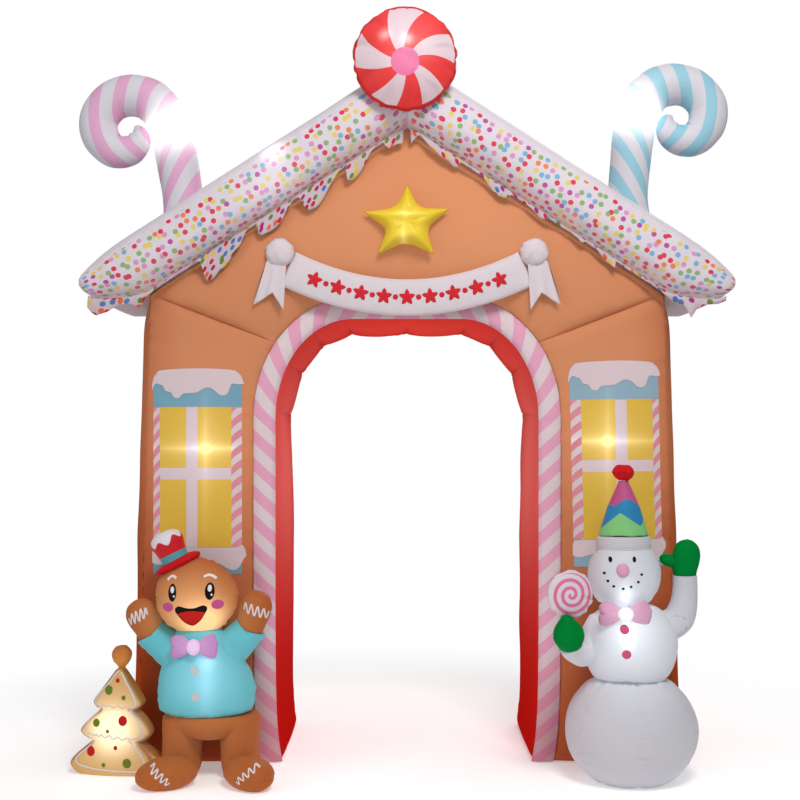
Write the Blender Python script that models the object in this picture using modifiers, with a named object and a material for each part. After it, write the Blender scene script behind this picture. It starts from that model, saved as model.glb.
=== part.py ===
"""Inflatable arch in the form of a gingerbread house, with a biscuit figure, a snowman and a biscuit tree.

Every piece is one sewn cloth chamber, or one cloth panel, at the size and in the form that it has when it is
blown up. Metres, +Z up, the front towards -Y, the origin on the floor under the middle of the whole object.
"""

import math

import bmesh
import bpy
from mathutils import Matrix, Vector

# ---- Driving dimensions -------------------------------------------------------------------------------

GAP = 0.0003  # between two pieces that are sewn or pressed together
CLOTH = 0.002  # a single hanging panel with its hem

FRONT_Y = -0.14  # plane of the seams round the house's front
DEPTH = 0.72
BACK_Y = FRONT_Y + DEPTH

OPENING_HALF = 0.526
OPENING_TOP = 1.772
SPRING_Z = 1.376  # where the doorway's sides begin to curve
CORNER_RX = 0.31
CORNER_RZ = OPENING_TOP - SPRING_Z
FOOT_PINCH = 0.03  # how far the doorway narrows at the floor

WALL_HALF = 1.03
WALL_FLARE = 0.045  # how much wider the walls are at the floor
EAVE_Z = 1.87
APEX_Z = 2.53
SLOPE = math.atan2(APEX_Z - EAVE_Z, WALL_HALF)
SLOPE_LENGTH = math.hypot(APEX_Z - EAVE_Z, WALL_HALF)

LINING_EDGE = 0.02  # thickness of the red lining at its seams
LINING_PUFF = 0.032
BORDER_WIDTH = 0.088
BORDER_CROWN = 0.008
LEG_CROWN = 0.045
GABLE_CROWN = 0.062
SIDE_BULGE = 0.08
FLOOR_ROUND = 0.03  # radius of the rounded lower rim of each leg

ROOF_NOSE = 0.13  # how far the roof stands out in front of the front seams
ROOF_TAIL = 0.07  # and behind the back seams
DRAPE_Y = FRONT_Y - 0.058
DRAPE_TUCK = 0.035  # the icing reaches this far up, to the roof's underside
EAVE_LIP_START = 1.2  # past here the icing comes forward round the roof's end
EAVE_LIP_BLEND = 0.1
EAVE_LIP_REACH = 0.035

CANE_Y = FRONT_Y + 0.3
MINT_RADIUS = 0.204
MINT_HALF = 0.078  # half of its thickness
MINT_CENTRE = (-0.008, FRONT_Y - 0.16, 2.765)
STAR_CENTRE = (0.0, FRONT_Y - 0.085, 2.13)
STAR_HALF = 0.052

BANNER_HALF = 0.47
BANNER_Z = 1.85  # at its middle
BANNER_SAG = 0.115
BANNER_HEIGHT = 0.145
BANNER_Y = FRONT_Y - 0.066
ROSETTE_X = 0.502
ROSETTE_Z = 2.027
ROSETTE_RADIUS = 0.058
TAIL_FOOT_Z = 1.812
NOTCH_X, NOTCH_Z = 0.53, 1.868  # the cut between the two points of each ribbon tail

GINGER_Y = FRONT_Y - 0.19
SHIRT_X = -0.773
HIPS_X = -0.757
HEAD_CENTRE = (-0.811, GINGER_Y - 0.005, 0.686)
HEAD_RADII = (0.159, 0.128, 0.148)
CUFF_RADIUS = 0.064
HAT_SEAT = (-0.884, GINGER_Y - 0.002, 0.812)
HAT_LEAN = math.radians(-25.8)

TREE_TURN = 0.17  # its right side stands nearer the front
TREE_X = -1.136
TREE_Y = FRONT_Y - 0.165

SNOW_X = 0.85
SNOW_Y = FRONT_Y - 0.262
SNOW_WAIST = 0.385
SNOW_NECK = 0.662
SNOW_BROW = 0.872
CONE_FOOT = 0.925
CONE_TIP = 1.132
WRIST_Z = 0.773  # of the raised arm

# ---- Tables -------------------------------------------------------------------------------------------

# Heights of the stations up each leg, from the floor.
LEG_HEIGHTS = (0.0, 0.009, FLOOR_ROUND, 0.12, 0.3, 0.55, 0.8, 1.05, 1.25, SPRING_Z)

# Stations round the doorway's corner: (angle on the corner's ellipse in degrees, reach of the outer end from
# the eave in metres: below it on the wall if negative, up the roof slope if positive).
SEAM_ANGLE = 42
CORNER_STATIONS = (
    (10, -0.37), (20, -0.26), (30, -0.14), (38, -0.045), (41.3, -0.012),
    (SEAM_ANGLE, 0.0),
    (42.7, 0.012), (46, 0.05), (54, 0.16), (65, 0.36), (77, 0.58), (90, 0.8),
)

# Stations over the flat top of the doorway: (x, reach up the roof slope).
TOP_STATIONS = ((0.11, 1.01), (0.0, SLOPE_LENGTH))

# Across the front: distances of the border's columns from the shell's inner edge, then shares of the rest.
BORDER_COLUMNS = (0.0, 0.034, 0.068)
PANEL_COLUMNS = (0.1, 0.28, 0.5, 0.72, 0.9, 1.0)
SIDE_COLUMNS = (0.12, 0.5, 0.88)
BACK_COLUMNS = (1.0, 0.88, 0.6, 0.3, 0.08, 0.0)

# Where the cross seams of the red lining lie, along one half of the doorway's edge from the floor.
LINING_SEAMS = (0.0, 1.40, 1.60, 1.76, 1.90)
LINING_SHARES = (0.0, 0.12, 0.35, 0.65, 0.88)
LINING_LEG_SHARES = (0.0, 0.012, 0.04, 0.12, 0.35, 0.6, 0.85, 0.96, 0.985)
LINING_ACROSS = (0.0, 0.07, 0.28, 0.5, 0.72, 0.93, 1.0)

# Stations down the roof: (distance from the apex, height of the underside above the slope, of the top).
ROOF_STATIONS = (
    (0.0, 0.0, 0.25), (0.25, 0.0, 0.248), (0.5, 0.0, 0.248), (0.75, 0.0, 0.248), (1.0, 0.0, 0.248),
    (1.13, 0.0, 0.247), (1.235, 0.0, 0.24), (1.3, 0.02, 0.228), (1.36, 0.052, 0.214), (1.4, 0.078, 0.202),
    (1.42, 0.104, 0.19), (1.43, 0.13, 0.176),
)

# The icing's lower edge: (distance down the slope, how far it hangs below the roof's lower edge).
DRIPS_LEFT = (
    (0.012, 0.08), (0.05, 0.086), (0.08, 0.05), (0.12, 0.026), (0.17, 0.03), (0.215, 0.045), (0.24, 0.08),
    (0.268, 0.052), (0.31, 0.028), (0.37, 0.032), (0.41, 0.06), (0.44, 0.098), (0.47, 0.07), (0.51, 0.026),
    (0.57, 0.024), (0.62, 0.045), (0.675, 0.068), (0.71, 0.048), (0.76, 0.02), (0.82, 0.03), (0.87, 0.055),
    (0.905, 0.104), (0.94, 0.086), (0.97, 0.022), (1.06, 0.01), (1.16, 0.009), (1.22, 0.018), (1.245, 0.05),
    (1.275, 0.03), (1.31, 0.028), (1.345, 0.054), (1.375, 0.06), (1.42, 0.035),
)
DRIPS_RIGHT = (
    (0.012, 0.075), (0.06, 0.05), (0.11, 0.03), (0.17, 0.04), (0.215, 0.06), (0.25, 0.036), (0.3, 0.014),
    (0.38, 0.022), (0.44, 0.04), (0.475, 0.05), (0.51, 0.02), (0.58, 0.014), (0.635, 0.034), (0.67, 0.02),
    (0.74, 0.012), (0.8, 0.032), (0.85, 0.012), (0.91, 0.02), (0.955, 0.034), (0.985, 0.012), (1.08, 0.008),
    (1.18, 0.01), (1.235, 0.03), (1.285, 0.036), (1.305, 0.08), (1.33, 0.048), (1.37, 0.034), (1.42, 0.025),
)

# A candy cane, from the roof to the tip of the curl: (outwards, up, radius).
CANE = (
    (0.015, -0.14, 0.081), (0.0, 0.0, 0.082), (0.021, 0.17, 0.082), (0.044, 0.3, 0.083),
    (0.08, 0.4, 0.085), (0.146, 0.462, 0.086), (0.226, 0.474, 0.083), (0.298, 0.445, 0.078),
    (0.345, 0.372, 0.076), (0.338, 0.292, 0.072), (0.29, 0.234, 0.066), (0.228, 0.228, 0.058),
    (0.184, 0.262, 0.048), (0.176, 0.31, 0.034), (0.192, 0.345, 0.012),
)

# The star's outline from its top tip, clockwise: (degrees from straight up, radius).
STAR = (
    (0, 0.155), (38, 0.078), (73, 0.178), (108, 0.08), (138, 0.168), (180, 0.086),
    (222, 0.168), (252, 0.08), (287, 0.178), (322, 0.078),
)

# Sections of the gingerbread figure's shirt: (height, half width, half depth, sideways shift).
SHIRT = (
    (0.24, 0.155, 0.118, 0.0), (0.252, 0.175, 0.136, 0.0), (0.285, 0.187, 0.15, 0.0),
    (0.34, 0.188, 0.156, 0.0), (0.4, 0.174, 0.15, -0.004), (0.46, 0.148, 0.132, -0.012),
    (0.52, 0.116, 0.108, -0.02), (0.56, 0.084, 0.08, -0.028), (0.58, 0.05, 0.05, -0.032),
)
HIPS = (
    (0.2397, 0.17, 0.128, 0.0), (0.225, 0.177, 0.134, 0.0), (0.2, 0.166, 0.132, 0.0),
    (0.172, 0.128, 0.118, 0.0), (0.152, 0.08, 0.09, 0.0), (0.142, 0.035, 0.045, 0.0),
)
# The figure's leg, as (radius, height).
GINGER_LEG = ((0, 0.2397), (0.074, 0.2397), (0.076, 0.1), (0.074, 0.03), (0.05, 0.0), (0, 0.0))

# Sections of the biscuit tree: (height, half width, sideways shift, half depth).
TREE = (
    (0.0, 0.13, 0.004, 0.05), (0.012, 0.154, 0.002, 0.061), (0.042, 0.168, 0.0, 0.068),
    (0.078, 0.148, 0.006, 0.07), (0.112, 0.112, 0.012, 0.068), (0.13, 0.094, 0.016, 0.062),
    (0.14, 0.12, 0.016, 0.062), (0.166, 0.143, 0.016, 0.068), (0.2, 0.122, 0.02, 0.068),
    (0.234, 0.086, 0.022, 0.064), (0.249, 0.071, 0.023, 0.058), (0.258, 0.086, 0.023, 0.058),
    (0.28, 0.1, 0.024, 0.062), (0.318, 0.076, 0.026, 0.058), (0.362, 0.044, 0.028, 0.048),
    (0.394, 0.022, 0.03, 0.032), (0.404, 0.014, 0.031, 0.024),
)

COLOURS = {
    "gingerbread": ((0.62, 0.24, 0.10), 0.5), "lining": ((0.62, 0.02, 0.02), 0.45),
    "border": ((0.78, 0.46, 0.54), 0.5), "icing": ((0.74, 0.66, 0.69), 0.5),
    "pink": ((0.75, 0.42, 0.56), 0.5), "blue": ((0.30, 0.62, 0.72), 0.5),
    "red": ((0.65, 0.03, 0.03), 0.45), "yellow": ((0.85, 0.55, 0.02), 0.45),
    "banner": ((0.72, 0.62, 0.64), 0.55), "biscuit": ((0.72, 0.38, 0.14), 0.5),
    "brown": ((0.42, 0.13, 0.045), 0.5), "aqua": ((0.13, 0.55, 0.62), 0.45),
    "lilac": ((0.66, 0.25, 0.50), 0.5), "white": ((0.78, 0.76, 0.78), 0.5),
    "green": ((0.0, 0.22, 0.05), 0.5), "hat": ((0.20, 0.45, 0.20), 0.5),
}


# ---- Making solids ------------------------------------------------------------------------------------


def clear_scene():
    for obj in list(bpy.data.objects):
        bpy.data.objects.remove(obj, do_unlink=True)


def new_collection(name):
    collection = bpy.data.collections.new(name)
    bpy.context.scene.collection.children.link(collection)
    return collection


def cloth_material(name):
    colour, roughness = COLOURS[name]
    found = bpy.data.materials.get(name)
    if found:
        return found
    made = bpy.data.materials.new(name)
    made.use_nodes = True
    shader = made.node_tree.nodes["Principled BSDF"]
    shader.inputs["Base Color"].default_value = (*colour, 1.0)
    shader.inputs["Roughness"].default_value = roughness
    shader.inputs["Metallic"].default_value = 0.0
    return made


def add_piece(name, mesh, material):
    mesh.materials.append(cloth_material(material))
    mesh.shade_smooth()
    mesh.set_sharp_from_angle(angle=math.radians(40))
    piece = bpy.data.objects.new(name, mesh)
    pieces.objects.link(piece)
    return piece


def loft(name, rings, material):
    """A closed skin over rings of equal count, in order, with a flat end on the first and the last ring."""
    shape = bmesh.new()
    made = [[shape.verts.new(point) for point in ring] for ring in rings]
    for ring, following in zip(made, made[1:]):
        for i in range(len(ring)):
            j = (i + 1) % len(ring)
            shape.faces.new((ring[i], ring[j], following[j], following[i]))
    shape.faces.new(reversed(made[0]))
    shape.faces.new(made[-1])
    bmesh.ops.recalc_face_normals(shape, faces=shape.faces)
    bmesh.ops.triangulate(shape, faces=shape.faces)  # so that a grown copy bends along the same lines
    mesh = bpy.data.meshes.new(name)
    shape.to_mesh(mesh)
    shape.free()
    return add_piece(name, mesh, material)


def turned(name, profile, centre, material, steps=20, depth=1.0, turn=None):
    """A profile of (radius, height) from the top down, turned about its Z axis; depth squeezes it along Y."""
    mesh = bpy.data.meshes.new(name)
    points = [(radius, 0.0, height) for radius, height in profile]
    mesh.from_pydata(points, [(i, i + 1) for i in range(len(points) - 1)], [])
    piece = add_piece(name, mesh, material)
    piece.location = centre
    piece.scale = (1.0, depth, 1.0)
    if turn:
        piece.rotation_euler = turn
    screw = piece.modifiers.new("Turn", "SCREW")
    screw.steps = steps
    screw.render_steps = steps
    screw.use_merge_vertices = True
    screw.merge_threshold = 0.0001
    screw.use_smooth_shade = True
    return piece


def round_profile(radius, top, bottom, count, top_flat=0.0, bottom_flat=0.0):
    """Profile of a filled ball from its top to its bottom, cut flat where a flat radius is given."""
    middle, half = (top + bottom) / 2, (top - bottom) / 2
    start = math.asin(min(1.0, top_flat / radius))
    end = math.pi - math.asin(min(1.0, bottom_flat / radius))
    rise = half / max(math.cos(start), 1e-6)
    drop = half / max(-math.cos(end), 1e-6)
    profile = [(0.0, top)] if top_flat else []
    for k in range(count + 1):
        angle = start + (end - start) * k / count
        stretch = rise if angle < math.pi / 2 else drop
        profile.append((max(radius * math.sin(angle), 0.0), middle + stretch * math.cos(angle)))
    if bottom_flat:
        profile.append((0.0, bottom))
    return profile


def ellipsoid(name, centre, radii, material, segments=16, rings=10, yaw=0.0, tilt=0.0, floor=None):
    """A filled ball with three radii; floor cuts it flat at that height."""
    shape = bmesh.new()
    bmesh.ops.create_uvsphere(shape, u_segments=segments, v_segments=rings, radius=1.0)
    place = Matrix.Translation(centre) @ Matrix.Rotation(yaw, 4, "Z") @ Matrix.Rotation(tilt, 4, "Y")
    bmesh.ops.transform(shape, matrix=place @ Matrix.Diagonal((*radii, 1.0)), verts=shape.verts)
    if floor is not None:
        cut = bmesh.ops.bisect_plane(
            shape, geom=shape.verts[:] + shape.edges[:] + shape.faces[:], dist=1e-5,
            plane_co=(0, 0, floor), plane_no=(0, 0, -1), clear_outer=True,
        )
        rim = [part for part in cut["geom_cut"] if isinstance(part, bmesh.types.BMEdge)]
        bmesh.ops.contextual_create(shape, geom=rim)
    mesh = bpy.data.meshes.new(name)
    shape.to_mesh(mesh)
    shape.free()
    return add_piece(name, mesh, material)


def smooth_rows(rows, per_span):
    """Rows of numbers read from a smooth curve through the given rows."""
    found = []
    for i in range(len(rows) - 1):
        before, start = rows[max(i - 1, 0)], rows[i]
        end, after = rows[i + 1], rows[min(i + 2, len(rows) - 1)]
        for k in range(per_span):
            t = k / per_span
            found.append(tuple(
                0.5 * (2 * b + (c - a) * t + (2 * a - 5 * b + 4 * c - d) * t * t
                       + (3 * b - a - 3 * c + d) * t ** 3)
                for a, b, c, d in zip(before, start, end, after)
            ))
    return found + [rows[-1]]


def tube(name, stations, material, sides=12, across=(0, 1, 0), flat=1.0):
    """A filled tube through (x, y, z, radius) stations; flat squeezes its sections along across."""
    centres = [Vector(row[:3]) for row in stations]
    rings = []
    for i, (centre, row) in enumerate(zip(centres, stations)):
        along = (centres[min(i + 1, len(centres) - 1)] - centres[max(i - 1, 0)]).normalized()
        side = along.cross(Vector(across)).normalized()
        other = side.cross(along)
        rings.append([
            centre + row[3] * (math.cos(a) * side + flat * math.sin(a) * other)
            for a in (2 * math.pi * k / sides for k in range(sides))
        ])
    return loft(name, rings, material)


def grown(piece):
    """A hidden copy of a piece, one gap larger all round, that cuts its neighbours' seats."""
    cutter = piece.copy()
    cutter.name = piece.name + "_seat"
    for modifier in list(cutter.modifiers):
        if modifier.type == "BOOLEAN":
            cutter.modifiers.remove(modifier)
    swell = cutter.modifiers.new("Gap", "DISPLACE")
    swell.strength = GAP
    swell.mid_level = 0.0
    cutter.hide_render = True
    cutter.display_type = "WIRE"
    cutters.objects.link(cutter)
    return cutter


def seat(piece, *neighbours):
    """Flattens a piece against the neighbours that it is sewn to or pressed on."""
    for neighbour in neighbours:
        cut = piece.modifiers.new("Seat_" + neighbour.name, "BOOLEAN")
        cut.operation = "DIFFERENCE"
        cut.object = bpy.data.objects.get(neighbour.name + "_seat") or grown(neighbour)


def merge(piece, addition):
    """Makes one solid of a piece and an addition that starts inside it."""
    union = piece.modifiers.new("Join", "BOOLEAN")
    union.operation = "UNION"
    union.object = addition
    addition.hide_render = True
    addition.display_type = "WIRE"
    pieces.objects.unlink(addition)
    cutters.objects.link(addition)


# ---- The house ----------------------------------------------------------------------------------------


def doorway_edge(distance):
    """(x, z) on the right half of the doorway's edge, that far from the floor, and the way outwards."""
    if distance <= SPRING_Z:
        pinch = FOOT_PINCH * math.exp(-distance / 0.12)
        return Vector((OPENING_HALF - pinch, distance)), Vector((1.0, 0.0))
    steps, travelled = 180, SPRING_Z
    last = Vector((OPENING_HALF, SPRING_Z))
    for k in range(1, steps + 1):
        point, way = corner_edge(90 * k / steps)
        travelled += (point - last).length
        last = point
        if travelled >= distance:
            return point, way
    return Vector((max(last.x - (distance - travelled), 0.0), OPENING_TOP)), Vector((0.0, 1.0))


def corner_edge(angle):
    """(x, z) on the doorway's rounded corner and the way out of the doorway there."""
    a = math.radians(angle)
    point = Vector((OPENING_HALF - CORNER_RX + CORNER_RX * math.cos(a), SPRING_Z + CORNER_RZ * math.sin(a)))
    return point, Vector((math.cos(a) / CORNER_RX, math.sin(a) / CORNER_RZ)).normalized()


def outer_edge(reach):
    """(x, z) on the wall below the eave for a negative reach, or up the roof slope for a positive one."""
    if reach < 0:
        z = EAVE_Z + reach
        return Vector((WALL_HALF + WALL_FLARE * (1 - z / EAVE_Z), z))
    return Vector((WALL_HALF - reach * math.cos(SLOPE), EAVE_Z + reach * math.sin(SLOPE)))


def house_stations():
    """Stations from the right foot over the crown to the left foot, with their edges, crown and bulge."""
    right = []
    for z in LEG_HEIGHTS:
        edge, way = doorway_edge(z)
        right.append({"edge": edge, "way": way, "outer": outer_edge(z - EAVE_Z), "reach": z - EAVE_Z})
    for angle, reach in CORNER_STATIONS:
        edge, way = corner_edge(angle)
        right.append({"edge": edge, "way": way, "outer": outer_edge(reach), "reach": reach})
    for x, reach in TOP_STATIONS:
        edge, way = Vector((x, OPENING_TOP)), Vector((0.0, 1.0))
        right.append({"edge": edge, "way": way, "outer": outer_edge(reach), "reach": reach})
    for station in right:
        reach = station["reach"]
        crease = 1 - 0.8 * math.exp(-abs(reach) / 0.03)
        gable = max(0.0, min(1.0, reach / 0.4))
        station["crown"] = crease * (LEG_CROWN + (GABLE_CROWN - LEG_CROWN) * gable)
        station["bulge"] = SIDE_BULGE * (1 - math.exp(reach / 0.04)) if reach < 0 else 0.0
        station["round"] = floor_inset(station["edge"].y)
    left = [mirrored_station(station) for station in reversed(right[:-1])]
    return right + left


def mirrored_station(station):
    flipped = dict(station)
    for key in ("edge", "way", "outer"):
        flipped[key] = Vector((-station[key].x, station[key].y))
    return flipped


def floor_inset(z):
    """How far the lower rim is drawn in at that height."""
    if z >= FLOOR_ROUND:
        return 0.0
    return FLOOR_ROUND * (1 - math.sqrt(1 - (1 - z / FLOOR_ROUND) ** 2))


def shell_inner(station):
    """The shell's inner edge, behind the lining."""
    return station["edge"] + (LINING_EDGE + GAP) * station["way"]


def border_bulge(distance):
    """Crown of the striped border, that far out from the doorway's edge."""
    return BORDER_CROWN * math.sin(math.pi * max(0.0, min(1.0, distance / BORDER_WIDTH)))


def front_points(station):
    """(x, y, z) across the front of one station, from the shell's inner edge to its outer edge."""
    inner, outer = shell_inner(station), station["outer"]
    across = outer - inner
    width = across.length
    seam = BORDER_COLUMNS[-1]
    columns = [(d, border_bulge(d + LINING_EDGE)) for d in BORDER_COLUMNS]
    for share in PANEL_COLUMNS:
        rise = max(math.sin(math.pi * share), 0.0) ** 0.6
        columns.append((seam + (width - seam) * share, station["crown"] * rise))
    inset = station["round"]
    points = []
    for distance, bulge in columns:
        kept = min(max(distance, inset), width - inset)
        flat = inner + across * (kept / width)
        points.append(Vector((flat.x, FRONT_Y + inset - bulge * (1 - inset / FLOOR_ROUND), flat.y)))
    return points


def house_ring(station):
    """One closed section of the shell: front, outer side, back, and the flat inner side behind the lining."""
    ring = front_points(station)
    inner, outer = shell_inner(station), station["outer"]
    inset = station["round"]
    sign = 1.0 if outer.x >= 0 else -1.0
    front, back = FRONT_Y + inset, BACK_Y - inset
    for share in SIDE_COLUMNS:
        reach = station["bulge"] * math.sin(math.pi * share) * (1 - inset / FLOOR_ROUND) - inset
        ring.append(Vector((outer.x + sign * reach, front + (back - front) * share, outer.y)))
    across = outer - inner
    for share in BACK_COLUMNS:
        kept = min(max(share * across.length, inset), across.length - inset) / across.length
        rise = station["crown"] * max(math.sin(math.pi * share), 0.0) ** 0.6 * (1 - inset / FLOOR_ROUND)
        flat = inner + across * kept
        ring.append(Vector((flat.x, back + rise, flat.y)))
    return ring


def house_shell(stations):
    """The gingerbread-coloured air chamber: two legs and the gable, over the doorway."""
    roof_line = Vector((math.sin(SLOPE), 0.0, math.cos(SLOPE)))
    rings = [house_ring(station) for station in stations]
    shell = loft("house_shell", rings, "gingerbread")
    for vertex in shell.data.vertices:  # the top stays one gap under the roof's flat underside
        way = Vector((math.copysign(roof_line.x, vertex.co.x), 0.0, roof_line.z))
        above = way.dot(vertex.co - Vector((0, 0, APEX_Z))) + GAP
        if above > 0:
            vertex.co -= way * above if abs(vertex.co.x) > 1e-6 else Vector((0, 0, above / roof_line.z))
    return shell


def lining_distances():
    """(distance from the floor along half of the doorway's edge, share of the way between its two seams)."""
    half = SPRING_Z + doorway_corner_length() + OPENING_HALF - CORNER_RX
    ends = LINING_SEAMS[1:] + (half,)
    rows = []
    for start, end in zip(LINING_SEAMS, ends):
        shares = LINING_LEG_SHARES if start == 0.0 else LINING_SHARES
        rows += [(start + (end - start) * share, share) for share in shares]
    return rows + [(half, 1.0)]


def doorway_corner_length():
    points = [corner_edge(angle)[0] for angle in range(0, 91)]
    return sum((b - a).length for a, b in zip(points, points[1:]))


def doorway_lining():
    """The red soffit: puffed between its cross seams, with its flat back against the shell."""
    right = []
    for distance, share in lining_distances():
        edge, way = doorway_edge(distance)
        puff = LINING_PUFF * max(math.sin(math.pi * share), 0.0) ** 0.45
        right.append((edge, way, puff))
    left = [(Vector((-e.x, e.y)), Vector((-w.x, w.y)), p) for e, w, p in reversed(right[:-1])]
    rings = []
    for edge, way, puff in right + left:
        inset = floor_inset(max(edge.y, 0.0))
        front, back = FRONT_Y + GAP + inset, BACK_Y - inset
        ring = [
            Vector(((edge + way * LINING_EDGE).x, y, edge.y + way.y * LINING_EDGE)) for y in (back, front)
        ]
        for share in LINING_ACROSS:
            depth = puff * max(math.sin(math.pi * share), 0.0) ** 0.5 - min(inset, LINING_EDGE * 0.8)
            point = edge - way * depth
            ring.append(Vector((point.x, front + (back - front) * share, point.y)))
        rings.append(ring)
    lining = loft("doorway_lining", rings, "lining")
    seat(lining, bpy.data.objects["house_shell"])


def doorway_border(stations):
    """The striped strip round the doorway's front, laid over the edges of the shell and the lining."""
    rings = []
    for station in stations:
        if station["edge"].y == 0.0:
            continue
        columns = front_points(station)[:len(BORDER_COLUMNS)]
        edge = Vector((station["edge"].x, columns[0].y, station["edge"].y))
        inside = [point - Vector((0, GAP, 0)) for point in [edge] + columns]
        outside = [point - Vector((0, CLOTH, 0)) for point in inside]
        rings.append(outside + inside[::-1])
    return loft("doorway_border", rings, "border")


# ---- The roof -----------------------------------------------------------------------------------------


def roof_point(side, down, above, y):
    """A point by its distance down the slope from the apex and its height above the slope's plane."""
    x = down * math.cos(SLOPE) + above * math.sin(SLOPE)
    return Vector((side * x, y, APEX_Z - down * math.sin(SLOPE) + above * math.cos(SLOPE)))


def roof_ring(side, down, low, high):
    """A roof section: flat where it lies on the house, with full round noses in front and behind."""
    front, back = FRONT_Y - ROOF_NOSE, BACK_Y + ROOF_TAIL
    size = (high - low) / ROOF_STATIONS[0][2]
    middle, half = (front + back) / 2, (back - front) / 2 * (0.8 + 0.2 * size ** 0.5)
    ring = []
    for k in range(20):
        angle = 2 * math.pi * k / 20 + math.pi / 20
        across = math.copysign(abs(math.cos(angle)) ** 0.36, math.cos(angle)) * half
        up = math.copysign(abs(math.sin(angle)) ** 0.7, math.sin(angle)) * 0.52
        above = min(max(low + (0.48 + up) * (high - low), low), high)
        start = down - above * math.tan(SLOPE) if down == 0.0 else down
        ring.append(roof_point(side, start, above, middle + across))
    if down == 0.0:  # both halves end in the middle plane, one gap apart
        ring = [Vector((side * GAP / 2, p.y, p.z)) for p in ring]
    return ring


def roof(side, name):
    rings = [roof_ring(side, *station) for station in ROOF_STATIONS]
    return loft(name, rings, "icing")


def roof_underside(down):
    """Height of the roof's underside above the slope's plane, that far from the apex."""
    for (start, low, _), (end, next_low, _) in zip(ROOF_STATIONS, ROOF_STATIONS[1:]):
        if down <= end:
            return low + (next_low - low) * (down - start) / (end - start)
    return ROOF_STATIONS[-1][1]


def drape(side, name, drips, roof_half):
    """The icing panel that hangs from under the roof's front edge, with its dripping lower edge."""
    rings = []
    for down, drop in smooth_rows(drips, 2):
        eave = max(0.0, min(1.0, (down - EAVE_LIP_START) / EAVE_LIP_BLEND))
        y = DRAPE_Y - EAVE_LIP_REACH * eave
        edge = roof_point(side, down, roof_underside(down), y)
        top = roof_point(side, down, roof_underside(down) + DRAPE_TUCK, y)
        sway = 0.004 * math.sin(37 * down) + 0.003 * math.sin(61 * down + 1)
        low = edge + Vector((side * 0.1 * drop, sway - 0.004 - 0.05 * drop, -drop))
        thick = Vector((0, CLOTH, 0))
        rings.append([top, low, low + thick, top + thick])
    made = loft(name, rings, "icing")
    seat(made, roof_half)
    return made


def candy_cane(side, name, foot, lean, material, roof_half):
    """A striped tube that stands on the roof and curls outwards."""
    turn = Matrix.Rotation(side * lean, 3, "Y")
    stations = []
    for out, up, radius in smooth_rows(CANE, 2)[1:]:
        place = Vector(foot) + turn @ Vector((side * out, 0, up))
        stations.append((*place, max(radius, 0.01)))
    cane = tube(name, stations, material, sides=11)
    seat(cane, roof_half)
    return cane


def peppermint(roofs):
    """The round sweet on the apex: two discs sewn at a rim seam and blown up."""
    profile = []
    for k in range(11):
        a = math.pi * k / 10
        rise = math.copysign(abs(math.cos(a)) ** 0.8, math.cos(a))
        profile.append((MINT_RADIUS * math.sin(a), MINT_HALF * rise))
    profile[0], profile[-1] = (0.0, MINT_HALF), (0.0, -MINT_HALF)
    sweet = turned("peppermint", profile, MINT_CENTRE, "red", steps=24, turn=(math.pi / 2, 0, 0))
    seat(sweet, *roofs)
    return sweet


# ---- On the gable -------------------------------------------------------------------------------------


def star(shell):
    """A five-pointed cushion on the gable."""
    tips = [Vector((math.sin(math.radians(a)) * r, math.cos(math.radians(a)) * r)) for a, r in STAR]
    outline = []
    for start, end in zip(tips, tips[1:] + tips[:1]):
        outline += [start, start.lerp(end, 0.5)]
    levels = ((0.14, 1.0), (0.4, 0.9), (0.66, 0.66), (0.86, 0.38), (0.97, 0.14))
    rings = []
    for size, height in levels + tuple((s, -h) for s, h in reversed(levels)):
        rings.append([
            Vector(STAR_CENTRE) + Vector((p.x * size, -height * STAR_HALF, p.y * size)) for p in outline
        ])
    made = loft("star", rings, "yellow")
    seat(made, shell)
    return made


def banner(shell, border):
    """The scroll under the star: a flat cushion that hangs in a shallow curve between two rosettes."""
    rings = []
    for k in range(17):
        x = -BANNER_HALF + 2 * BANNER_HALF * k / 16
        middle = BANNER_Z + BANNER_SAG * (x / BANNER_HALF) ** 2
        slope = 2 * BANNER_SAG * x / BANNER_HALF ** 2
        up = Vector((-slope, 0, 1)).normalized() * BANNER_HEIGHT / 2
        ring = []
        for share, rise in ((1, 0), (0.82, 0.011), (0.3, 0.017), (-0.3, 0.017), (-0.82, 0.011), (-1, 0)):
            ring.append(Vector((x, BANNER_Y - rise, middle)) + up * share)
        for share in (-0.9, 0.0, 0.9):
            ring.append(Vector((x, BANNER_Y + 0.03, middle)) + up * share)
        rings.append(ring)
    made = loft("banner", rings, "banner")
    seat(made, shell, border)
    return made


def rosette(side, name, shell, scroll):
    """The round cushion over each end of the scroll."""
    centre = (side * ROSETTE_X, BANNER_Y - 0.006, ROSETTE_Z)
    profile = round_profile(ROSETTE_RADIUS, 0.034, -0.034, 8)
    made = turned(name, profile, centre, "banner", steps=18, turn=(math.pi / 2, 0, 0))
    seat(made, shell, scroll)
    return made


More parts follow.
